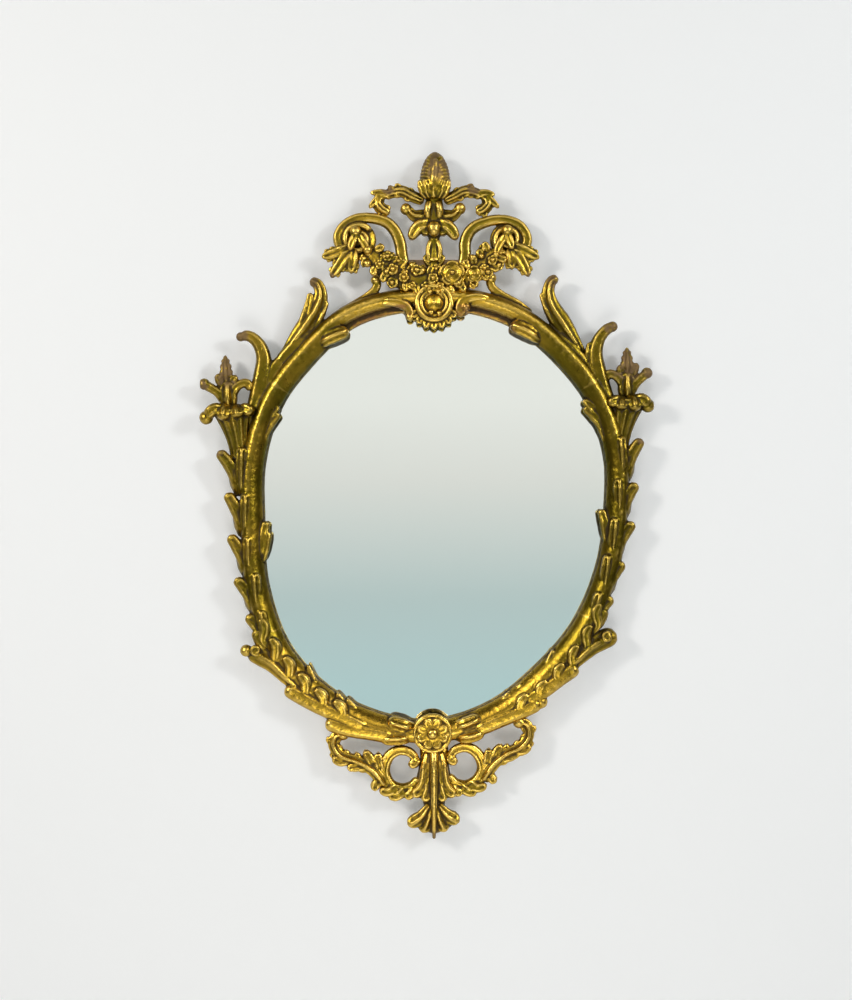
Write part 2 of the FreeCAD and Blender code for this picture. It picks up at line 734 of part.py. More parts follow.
rail_holes = dowels + pilot_holes(plate_seats + button_seats) + [crest_housing, apron_housing]
rails = {}
for name in ("side", "top", "bottom"):
    for side in JOINT_PIXELS:
        node = f"rail_{name}_{side}"
        neighbours = [rails[f"rail_side_{side}"]] if name != "side" else [
            plain_rails[f"rail_top_{side}"], plain_rails[f"rail_bottom_{side}"]]
        whole = joined([plain_rails[node]] + limbs(RAIL_LIMB_PIXELS[node], on_ring))
        rails[node] = fitted(whole, neighbours + rail_holes)
        keep(node, rails[node])
keep("joint_dowels", Part.makeCompound(dowels))
top_rails = [rails["rail_top_left"], rails["rail_top_right"]]
bottom_rails = [rails["rail_bottom_left"], rails["rail_bottom_right"]]

# Cups and buds on the shoulders
for side in JOINT_PIXELS:
    ring = [rails[f"rail_{name}_{side}"] for name in SEGMENT_NAMES]
    cup = fitted(joined(limbs(CUP_PIXELS[f"bell_cup_{side}"], on_ring)), ring)
    bud = fitted(joined(limbs(BUD_PIXELS[f"bud_finial_{side}"], on_ring)), ring + [cup])
    keep(f"bell_cup_{side}", cup)
    keep(f"bud_finial_{side}", bud)


def new_body(name):
    """Empty body in the document."""
    return doc.addObject("PartDesign::Body", name)


def origin_feature(body, role):
    """Origin plane or axis of a body."""
    return next(feature for feature in body.Origin.OriginFeatures if feature.Role == role)


def add_solid(body, kind, name, bindings):
    """Add a primitive to a body with its properties bound to the sheet."""
    feature = body.newObject(kind, name)
    for prop, expression in bindings.items():
        feature.setExpression(prop, expression)
    return feature


def add_ring_of(body, feature, count):
    """Repeat a feature round the body's upright axis."""
    pattern = body.newObject("PartDesign::PolarPattern", feature.Name + "Ring")
    pattern.Originals = [feature]
    pattern.Axis = (origin_feature(body, "Z_Axis"), [""])
    pattern.Angle = FULL_TURN
    pattern.Occurrences = count
    body.Tip = pattern
    return pattern


def face_forward(point, depth):
    """Placement that points a body's upright axis out of the wall at a place."""
    return Placement(in_depth(point, depth), Rotation(Vector(1, 0, 0), QUARTER_TURN))


# Stem and finial of the crest, turned about one upright axis
crest_axis = Vector(0, -size("crest_axis_depth"), 0)
stem_foot = rail_top
stem_top = on_crest((CENTRE_PIXEL, FINIAL_FOOT_PIXEL)).z
knop_level = on_crest((CENTRE_PIXEL, KNOP_PIXEL)).z
stem_body = new_body("StemCore")
shaft = add_solid(stem_body, "PartDesign::AdditiveCylinder", "StemShaft", {"Radius": "Sizes.stem_radius"})
shaft.Height = stem_top - stem_foot + size("rebate_width")
knop = add_solid(stem_body, "PartDesign::AdditiveEllipsoid", "StemKnop", {
    "Radius1": "Sizes.knop_height", "Radius2": "Sizes.knop_radius", "Radius3": "Sizes.knop_radius"})
knop.Placement = Placement(Vector(0, 0, knop_level - stem_foot + size("rebate_width")), Rotation())
stem_body.Placement = Placement(crest_axis + Vector(0, 0, stem_foot - size("rebate_width")), Rotation())

finial_body = new_body("FinialBody")
finial_core = add_solid(finial_body, "PartDesign::AdditiveEllipsoid", "FinialCore", {
    "Radius1": "Sizes.finial_height", "Radius2": "Sizes.finial_radius", "Radius3": "Sizes.finial_radius"})
finial_level = on_crest((CENTRE_PIXEL, FINIAL_PIXEL)).z
finial_core.Placement = Placement(Vector(0, 0, finial_level - stem_top), Rotation())
calyx = add_solid(finial_body, "PartDesign::AdditiveEllipsoid", "FinialCalyx", {
    "Radius1": "Sizes.calyx_height", "Radius2": "Sizes.calyx_radius", "Radius3": "Sizes.calyx_radius"})
calyx_level = on_crest((CENTRE_PIXEL, CALYX_PIXEL)).z
calyx.Placement = Placement(Vector(0, 0, calyx_level - stem_top), Rotation())
foot_cut = add_solid(finial_body, "PartDesign::SubtractiveBox", "FinialFoot", {
    "Length": "4 * Sizes.calyx_radius", "Width": "4 * Sizes.calyx_radius", "Height": "Sizes.finial_height"})
foot_cut.Placement = Placement(Vector(-2 * size("calyx_radius"), -2 * size("calyx_radius"),
                                      -size("finial_height")), Rotation())
finial_body.Placement = Placement(crest_axis + Vector(0, 0, stem_top), Rotation())
doc.recompute()

# Braces let into the backs of the rails, which carry the crest and the apron
crest_plate = box_between(Vector(-size("crest_brace_width") / 2, -brace_front, rail_top),
                          Vector(size("crest_brace_width") / 2, -board_back,
                                 rail_top + size("crest_brace_height")))
apron_plate = box_between(Vector(-size("apron_brace_width") / 2, -brace_front,
                                 rail_foot - size("apron_brace_height")),
                          Vector(size("apron_brace_width") / 2, -board_back, rail_foot))
brace_holes = pilot_holes(brace_seats)
crest_brace = fitted(joined([crest_plate, crest_housing]), brace_holes + top_rails)
apron_brace = fitted(joined([apron_plate, apron_housing]), brace_holes + bottom_rails)
keep("crest_brace", crest_brace)
keep("apron_brace", apron_brace)

# Crest
finial = finial_body.Shape.Solids[0].copy()
stem = joined([stem_body.Shape.Solids[0].copy()] + limbs(STEM_LIMB_PIXELS, on_crest))
stem_trim = box_between(Vector(-size("crest_half_width"), -2 * rail_front, stem_top),
                        Vector(size("crest_half_width"), 0, stem_top + size("crest_height")))
stem = fitted(stem, [crest_brace, stem_trim] + top_rails)
keep("crest_finial", finial)
keep("crest_stem", stem)
scrolls = []
drops = []
for side in JOINT_PIXELS:
    node = f"crest_scroll_{side}"
    eye_place = in_depth(on_crest(SCROLL_EYE_PIXELS[node]), size("scroll_back"))
    eye_height = size("scroll_front") - size("scroll_back") - size("scroll_eye_rise")
    eye = Part.makeCylinder(size("scroll_eye_radius"), eye_height, eye_place, Vector(0, -1, 0))
    scroll = joined(limbs(SCROLL_PIXELS[node], on_crest) + [eye])
    scroll = fitted(scroll, [stem, crest_brace] + brace_holes + top_rails)
    scrolls.append(scroll)
    keep(node, scroll)
    arm = fitted(joined(limbs(ARM_PIXELS[f"crest_arm_{side}"], on_crest)), [stem, finial, scroll])
    keep(f"crest_arm_{side}", arm)
    drop = fitted(joined(limbs(DROP_PIXELS[f"crest_drop_{side}"], on_crest)), [scroll])
    drops.append(drop)
    keep(f"crest_drop_{side}", drop)
garland = fitted(joined(limbs(GARLAND_PIXELS, on_crest)), scrolls + drops + [stem] + top_rails)
keep("crest_garland", garland)


def rose_body(name, alias):
    """Open rose: a ring of round petals about a heart, sized by one radius."""
    body = new_body(name)
    radius = f"Sizes.{alias}"
    reach, rise, spread = ROSE_PETAL_SHARES
    add_solid(body, "PartDesign::AdditiveEllipsoid", name + "Heart", {
        "Radius1": f"{radius} * {ROSE_HEART_SHARE + rise}", "Radius2": f"{radius} * {ROSE_HEART_SHARE}",
        "Radius3": f"{radius} * {ROSE_HEART_SHARE}"})
    petal = add_solid(body, "PartDesign::AdditiveEllipsoid", name + "Petal", {
        "Radius1": f"{radius} * {rise}", "Radius2": f"{radius} * (1 - {reach})",
        "Radius3": f"{radius} * {spread}", "Placement.Base.x": f"{radius} * {reach}"})
    add_ring_of(body, petal, ROSE_PETAL_COUNT)
    return body


# Roses that sit on the garland
flower_plan = [("LargeRose", "large_rose_radius", LARGE_ROSE_PIXEL, "rose_seat_depth"),
               ("SmallRose", "small_rose_radius", SMALL_ROSE_PIXEL, "rose_seat_depth")]
flowers = []
for name, alias, pixel, seat in flower_plan:
    body = rose_body(name, alias)
    body.Placement = face_forward(on_crest(pixel), size(seat))
    doc.recompute()
    flowers.append(fitted(body.Shape, [garland, stem] + scrolls + flowers))
keep("large_rose", flowers[0])
keep("small_rose", flowers[1])

# Cartouche over the top joint: a dome in a ring with a fan of lobes below
cartouche_body = new_body("CartoucheBody")
add_solid(cartouche_body, "PartDesign::AdditiveCylinder", "CartoucheDish", {
    "Radius": "Sizes.cartouche_radius - Sizes.cartouche_ring_wire", "Height": "Sizes.cartouche_depth / 2"})
add_solid(cartouche_body, "PartDesign::AdditiveTorus", "CartoucheRing", {
    "Radius1": "Sizes.cartouche_radius - Sizes.cartouche_ring_wire", "Radius2": "Sizes.cartouche_ring_wire",
    "Placement.Base.z": "Sizes.cartouche_depth / 2"})
add_solid(cartouche_body, "PartDesign::AdditiveEllipsoid", "CartoucheDome", {
    "Radius1": "Sizes.cartouche_dome_rise", "Radius2": "Sizes.cartouche_dome_radius",
    "Radius3": "Sizes.cartouche_dome_radius", "Placement.Base.z": "Sizes.cartouche_depth / 2"})
cartouche_place = on_crest(CARTOUCHE_PIXEL)
cartouche_body.Placement = face_forward(cartouche_place, size("cartouche_back"))
fan = []
for number in range(FAN_LOBE_COUNT):
    angle = math.radians(-QUARTER_TURN + FAN_ANGLE * (number / (FAN_LOBE_COUNT - 1) - 0.5))
    ray = Vector(math.cos(angle), 0, math.sin(angle)) * size("fan_radius")
    fan.append(limb("fan_lobe", [cartouche_place + ray * share for share in FAN_SHARES]))

# Rosette over the foot joint: a rim, petals and a button
rosette_body = new_body("RosetteBody")
disc_height = f"Sizes.rosette_depth * {ROSETTE_DISC_SHARE}"
add_solid(rosette_body, "PartDesign::AdditiveCylinder", "RosetteDisc", {
    "Radius": "Sizes.rosette_radius - Sizes.rosette_rim_wire", "Height": disc_height})
add_solid(rosette_body, "PartDesign::AdditiveTorus", "RosetteRim", {
    "Radius1": "Sizes.rosette_radius - Sizes.rosette_rim_wire", "Radius2": "Sizes.rosette_rim_wire",
    "Placement.Base.z": disc_height})
add_solid(rosette_body, "PartDesign::AdditiveEllipsoid", "RosetteButton", {
    "Radius1": f"Sizes.rosette_depth * (1 - {ROSETTE_DISC_SHARE})", "Radius2": "Sizes.rosette_button_radius",
    "Radius3": "Sizes.rosette_button_radius", "Placement.Base.z": disc_height})
petal = add_solid(rosette_body, "PartDesign::AdditiveEllipsoid", "RosettePetal", {
    "Radius1": "Sizes.rosette_petal_rise", "Radius2": "Sizes.rosette_petal_length",
    "Radius3": "Sizes.rosette_petal_width", "Placement.Base.x": f"Sizes.rosette_radius * {PETAL_RING_SHARE}",
    "Placement.Base.z": disc_height})
add_ring_of(rosette_body, petal, PETAL_COUNT)
rosette_body.Placement = face_forward(on_apron(ROSETTE_PIXEL), size("rosette_back"))
doc.recompute()
cartouche = fitted(joined([cartouche_body.Shape] + fan), top_rails + [garland, stem] + scrolls + flowers)
keep("cartouche", cartouche)

# Apron
pendant = fitted(joined(limbs(PENDANT_LIMB_PIXELS, on_apron)), bottom_rails + [apron_brace] + brace_holes)
keep("apron_pendant", pendant)
for side in JOINT_PIXELS:
    loop = fitted(joined(limbs(LOOP_PIXELS[f"apron_loop_{side}"], on_apron)),
                  bottom_rails + [pendant, apron_brace])
    keep(f"apron_loop_{side}", loop)
    scroll = joined(limbs(APRON_SCROLL_PIXELS[f"apron_scroll_{side}"], on_apron))
    keep(f"apron_scroll_{side}", fitted(scroll, bottom_rails + [loop]))
keep("rosette", fitted(rosette_body.Shape, bottom_rails + [pendant]))


def sheet_outline(lap):
    """Closed outline that runs outside the sight edge by a lap."""
    edges = []
    for side, pixels in SIGHT_PIXELS.items():
        curve = sight_curves[side]
        points = []
        for pixel in pixels:
            parameter = curve.parameter(on_sight_plane(pixel))
            points.append(in_depth(beside_sight(side, parameter, lap), 0))
        away = Vector(OUTWARD[side], 0, 0)
        edges.append(smooth_curve(points, away, -away).toShape())
    return Part.Wire(Part.sortEdges(edges)[0])


outline = doc.addObject("Part::Feature", "GlassOutline")
outline.Shape = Part.Face(sheet_outline(size("glass_lap")))
layer_plan = [("back_board", "board_thickness", board_back),
              ("mirror_silvering", "silvering_thickness", board_front),
              ("mirror_glass", "glass_thickness", glass_back)]
for node, alias, depth in layer_plan:
    layer = doc.addObject("Part::Extrusion", node)
    layer.Label = node
    layer.Base = outline
    layer.DirMode = "Custom"
    layer.Dir = Vector(0, -1, 0)
    layer.setExpression("LengthFwd", f"Sizes.{alias}")
    layer.Solid = True
    layer.Placement = Placement(Vector(0, -depth, 0), Rotation())
    pieces[node] = layer


def new_sketch(body, role):
    """Sketch on one of a body's own origin planes."""
    sketch = body.newObject("Sketcher::SketchObject", body.Name + "Sketch")
    sketch.AttachmentSupport = [(origin_feature(body, role), "")]
    sketch.MapMode = "FlatFace"
    return sketch


def bind(sketch, constraint, expression):
    """Add a size constraint to a sketch and bind it to the sheet."""
    index = sketch.addConstraint(constraint)
    sketch.setExpression(f"Constraints[{index}]", expression)


def add_polygon(sketch, corners):
    """Closed polygon whose corners are pairs of expressions."""
    points = [Vector(sheet.evalExpression(across), sheet.evalExpression(up), 0) for across, up in corners]
    first = sketch.GeometryCount
    for index, point in enumerate(points):
        sketch.addGeometry(Part.LineSegment(point, points[(index + 1) % len(points)]), False)
    for index, (across, up) in enumerate(corners):
        line = first + index
        following = first + (index + 1) % len(corners)
        sketch.addConstraint(Sketcher.Constraint("Coincident", line, 2, following, 1))
        for kind, expression, axis in (("DistanceX", across, -2), ("DistanceY", up, -1)):
            value = sheet.evalExpression(expression)
            if value == 0:
                sketch.addConstraint(Sketcher.Constraint("PointOnObject", line, 1, axis))
            else:
                bind(sketch, Sketcher.Constraint(kind, -1, 1, line, 1, value), expression)


def add_circle(sketch, radius, across=None):
    """Circle on the sketch's cross axis, at the origin or at an offset."""
    offset = sheet.evalExpression(across) if across else 0
    circle = sketch.addGeometry(Part.Circle(Vector(offset, 0, 0), Vector(0, 0, 1),
                                            sheet.evalExpression(radius)), False)
    bind(sketch, Sketcher.Constraint("Radius", circle, sheet.evalExpression(radius)), radius)
    if across:
        sketch.addConstraint(Sketcher.Constraint("PointOnObject", circle, 3, -1))
        bind(sketch, Sketcher.Constraint("DistanceX", -1, 1, circle, 3, offset), across)
    else:
        sketch.addConstraint(Sketcher.Constraint("Coincident", circle, 3, -1, 1))


def add_pad(body, sketch, length):
    """Pad a sketch out of the wall."""
    pad = body.newObject("PartDesign::Pad", body.Name + "Pad")
    pad.Profile = sketch
    pad.setExpression("Length", length)
    return pad


# Hanging plate with a knuckle for the ring
ring_axis_depth = size("wall_gap") / 2
plate_body = new_body("HangerPlate")
sketch = new_sketch(plate_body, "XZ_Plane")
half_length, half_height = "Sizes.plate_length / 2", "Sizes.plate_height / 2"
add_polygon(sketch, [(f"-{half_length}", f"-{half_height}"), (half_length, f"-{half_height}"),
                     (half_length, half_height), (f"-{half_length}", half_height)])
add_circle(sketch, "Sizes.screw_shank_radius", "Sizes.plate_screw_offset")
add_circle(sketch, "Sizes.screw_shank_radius", "-Sizes.plate_screw_offset")
add_pad(plate_body, sketch, "Sizes.plate_thickness")
plate_body.setExpression("Placement.Base.y", "Sizes.plate_thickness - Sizes.wall_gap")
knuckle = doc.addObject("Part::Cylinder", "Knuckle")
knuckle.setExpression("Radius", "Sizes.ring_wire_radius + Sizes.ring_clearance + Sizes.knuckle_wall")
knuckle.setExpression("Height", "Sizes.knuckle_length")
knuckle_bore = doc.addObject("Part::Cylinder", "KnuckleBore")
knuckle_bore.setExpression("Radius", "Sizes.ring_wire_radius + Sizes.ring_clearance")
knuckle_bore.setExpression("Height", "2 * Sizes.knuckle_length")
for cylinder, length in ((knuckle, size("knuckle_length")), (knuckle_bore, 2 * size("knuckle_length"))):
    start = Vector(-length / 2, -ring_axis_depth, 0)
    cylinder.Placement = Placement(start, Rotation(Vector(0, 1, 0), QUARTER_TURN))
plate_and_knuckle = doc.addObject("Part::MultiFuse", "PlateAndKnuckle")
plate_and_knuckle.Shapes = [plate_body, knuckle]
hanger = doc.addObject("Part::Cut", "hanger_plate")
hanger.Base = plate_and_knuckle
hanger.Tool = knuckle_bore
pieces["hanger_plate"] = hanger

# Hanging ring: a straight bar in the knuckle and a round bow below it
ring_bar = doc.addObject("Part::Cylinder", "RingBar")
ring_bar.setExpression("Radius", "Sizes.ring_wire_radius")
ring_bar.setExpression("Height", "2 * Sizes.ring_radius")
ring_bar.Placement = Placement(Vector(-size("ring_radius"), -ring_axis_depth, 0),
                               Rotation(Vector(0, 1, 0), QUARTER_TURN))
ring_bow = doc.addObject("Part::Torus", "RingBow")
ring_bow.setExpression("Radius1", "Sizes.ring_radius")
ring_bow.setExpression("Radius2", "Sizes.ring_wire_radius")
ring_bow.Angle3 = HALF_TURN
ring_bow.Placement = Placement(Vector(0, -ring_axis_depth, 0), Rotation(Vector(1, 0, 0), -QUARTER_TURN))
ring_parts = [ring_bar, ring_bow]
for across in OUTWARD.values():
    ring_corner = doc.addObject("Part::Sphere", "RingCorner")
    ring_corner.setExpression("Radius", "Sizes.ring_wire_radius")
    ring_corner.Placement = Placement(Vector(across * size("ring_radius"), -ring_axis_depth, 0), Rotation())
    ring_parts.append(ring_corner)
ring = doc.addObject("Part::MultiFuse", "hanging_ring")
ring.Shapes = ring_parts
pieces["hanging_ring"] = ring

# Wood screw, used for the plate, the braces and the turn buttons
screw_body = new_body("WoodScrew")
sketch = new_sketch(screw_body, "XZ_Plane")
head_radius, head_height = "Sizes.screw_head_radius", "Sizes.screw_head_height"
shank_radius, shank_end = "Sizes.screw_shank_radius", "Sizes.screw_length - Sizes.screw_point"
add_polygon(sketch, [("0", f"-{head_height}"), (f"{head_radius} * {SCREW_CROWN_SHARE}", f"-{head_height}"),
                     (head_radius, f"-{head_height} * {SCREW_RIM_SHARE}"), (head_radius, "0"),
                     (shank_radius, "0"), (shank_radius, shank_end), ("0", "Sizes.screw_length")])
spin = screw_body.newObject("PartDesign::Revolution", "WoodScrewSpin")
spin.Profile = sketch
spin.ReferenceAxis = (sketch, ["V_Axis"])
spin.Angle = FULL_TURN


def screws_at(seats):
    """Group of screws with their heads on the given seats."""
    template = screw_body.Shape.Solids[0]
    group = []
    for seat in seats:
        screw = template.copy()
        screw.Placement = Placement(seat, Rotation(Vector(1, 0, 0), QUARTER_TURN))
        group.append(screw)
    return Part.makeCompound(group)


# Turn buttons that hold the back board, each free to turn on its screw
button_number = 0
for side in JOINT_PIXELS:
    for share in BUTTON_SHARES:
        button_number += 1
        node = f"turn_button_{button_number}"
        body = new_body(node)
        sketch = new_sketch(body, "XZ_Plane")
        half, reach = "Sizes.button_width / 2", "Sizes.button_length - Sizes.button_width / 2"
        add_polygon(sketch, [(f"-{half}", f"-{half}"), (reach, f"-{half}"),
                             (reach, half), (f"-{half}", half)])
        add_circle(sketch, "Sizes.screw_shank_radius + Sizes.button_clearance")
        add_pad(body, sketch, "Sizes.button_thickness")
        seat = button_seats[button_number - 1]
        inward = -outward(side, along(sight_curves[side], share))
        swing = math.degrees(math.atan2(-inward.z, inward.x))
        body.Placement = Placement(seat, Rotation(Vector(0, 1, 0), swing))
        pieces[node] = body

# Bumpers that stand the frame off the wall at its foot
bumper_body = new_body("Bumper")
sketch = new_sketch(bumper_body, "XZ_Plane")
add_circle(sketch, "Sizes.bumper_radius")
add_pad(bumper_body, sketch, "Sizes.wall_gap")
doc.recompute()
bumpers = []
for side in JOINT_PIXELS:
    bumper = bumper_body.Shape.Solids[0].copy()
    bumper.Placement = Placement(beside_sight(side, along(sight_curves[side], BUMPER_SHARE), rail_middle),
                                 Rotation())
    bumpers.append(bumper)
keep("wall_bumpers", Part.makeCompound(bumpers))
keep("plate_screws", screws_at(plate_seats))
keep("brace_screws", screws_at(brace_seats))
keep("button_screws", screws_at(button_seats))
doc.recompute()

# Check every object and write one file for each piece
for item in doc.Objects:
    if "Invalid" in item.State or "Error" in item.State:
        raise RuntimeError(f"{item.Name} did not compute: {item.State}")
os.makedirs("parts", exist_ok=True)
for node, item in pieces.items():
    item.Label = node
    if item.Shape.isNull() or not item.Shape.isValid():
        raise RuntimeError(f"{node} has no valid shape")
    item.Shape.exportStep(os.path.join("parts", node + ".step"))
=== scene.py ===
"""Carved and gilded wall mirror: its visual pieces, materials and stage.

Blender works in metres. The carving functions work in millimetres on the wall plane: across, up and depth
from the wall, so that depth 30 is 30 mm in front of the wall. Tables whose names end in PIXELS hold places
read from the picture of the object, where one pixel is one millimetre.
"""
import math
import bmesh
import bpy
import numpy as np
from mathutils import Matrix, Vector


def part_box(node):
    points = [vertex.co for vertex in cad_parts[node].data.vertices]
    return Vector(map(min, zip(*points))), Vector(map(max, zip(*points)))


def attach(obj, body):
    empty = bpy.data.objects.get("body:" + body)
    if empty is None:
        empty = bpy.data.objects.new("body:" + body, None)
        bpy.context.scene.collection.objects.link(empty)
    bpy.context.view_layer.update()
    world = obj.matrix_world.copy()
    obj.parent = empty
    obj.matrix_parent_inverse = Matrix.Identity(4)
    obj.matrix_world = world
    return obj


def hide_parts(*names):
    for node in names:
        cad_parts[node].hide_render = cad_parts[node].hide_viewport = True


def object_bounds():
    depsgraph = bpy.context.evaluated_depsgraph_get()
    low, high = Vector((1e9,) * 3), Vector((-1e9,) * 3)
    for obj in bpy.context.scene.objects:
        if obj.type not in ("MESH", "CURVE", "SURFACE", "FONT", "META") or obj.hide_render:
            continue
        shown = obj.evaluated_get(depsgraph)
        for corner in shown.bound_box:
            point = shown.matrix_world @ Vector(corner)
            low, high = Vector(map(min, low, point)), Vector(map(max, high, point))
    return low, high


bl_info = {
    "name": "Carved wall mirror",
    "version": (1, 0, 0),
    "blender": (4, 5, 0),
    "location": "3D View > Sidebar > Mirror",
    "description": "Builds the carved frame, the glass, the fittings and the stage of a wall mirror",
    "category": "Object",
}

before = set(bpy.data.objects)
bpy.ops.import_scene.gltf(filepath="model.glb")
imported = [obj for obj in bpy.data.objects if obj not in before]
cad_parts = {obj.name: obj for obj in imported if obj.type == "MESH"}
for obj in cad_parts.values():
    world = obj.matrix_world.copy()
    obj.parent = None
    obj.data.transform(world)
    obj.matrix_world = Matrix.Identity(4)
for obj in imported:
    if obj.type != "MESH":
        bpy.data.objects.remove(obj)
CAD_LOW, CAD_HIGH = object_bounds()

MILLIMETRE = 0.001
CENTRE_PIXEL = 434.0
LEVEL_PIXEL = 296.5

# Sight edge from the top centre down the left side and up the right side
SIGHT_PIXELS = [
    (434, 311.5), (395, 313), (352, 328), (314, 363), (282, 406), (265, 462), (264, 520), (268, 583),
    (290, 645), (333, 690), (384, 714), (434, 720), (486, 704), (529, 672), (572, 623), (598, 560),
    (605.5, 493), (603, 450), (586, 402), (556, 363), (516, 329), (473, 313),
]
# Rail segments, each with the two joints that it runs between
SEGMENT_PIXELS = {
    "rail_top_left": ((434, 311.5), (290, 394)),
    "rail_side_left": ((290, 394), (281, 628)),
    "rail_bottom_left": ((281, 628), (434, 720)),
    "rail_bottom_right": ((434, 720), (578, 612)),
    "rail_side_right": ((578, 612), (579, 391)),
    "rail_top_right": ((579, 391), (434, 311.5)),
}
# Section of the rail as insets from the sight edge and depths
LIP_BACK, LIP_FRONT = 13.0, 16.0
COVE_WIDTH, COVE_FRONT = 6.0, 21.5
RAIL_WIDTH, RAIL_FRONT, RAIL_FLANK, RAIL_BACK = 23.0, 30.5, 21.0, 6.7
REBATE_WIDTH = 7.0
SEAM_LAP = 1.5
# The cove ends on the top segments, and a plain band takes its place from there on
COVE_END_PIXELS = {"rail_top_left": (345, 333), "rail_top_right": (514, 327)}
COVE_REACH = 82.0
BAND_FRONT = 30.2
GLASS_GAP = 0.0001
WELD_DISTANCE = 0.000001

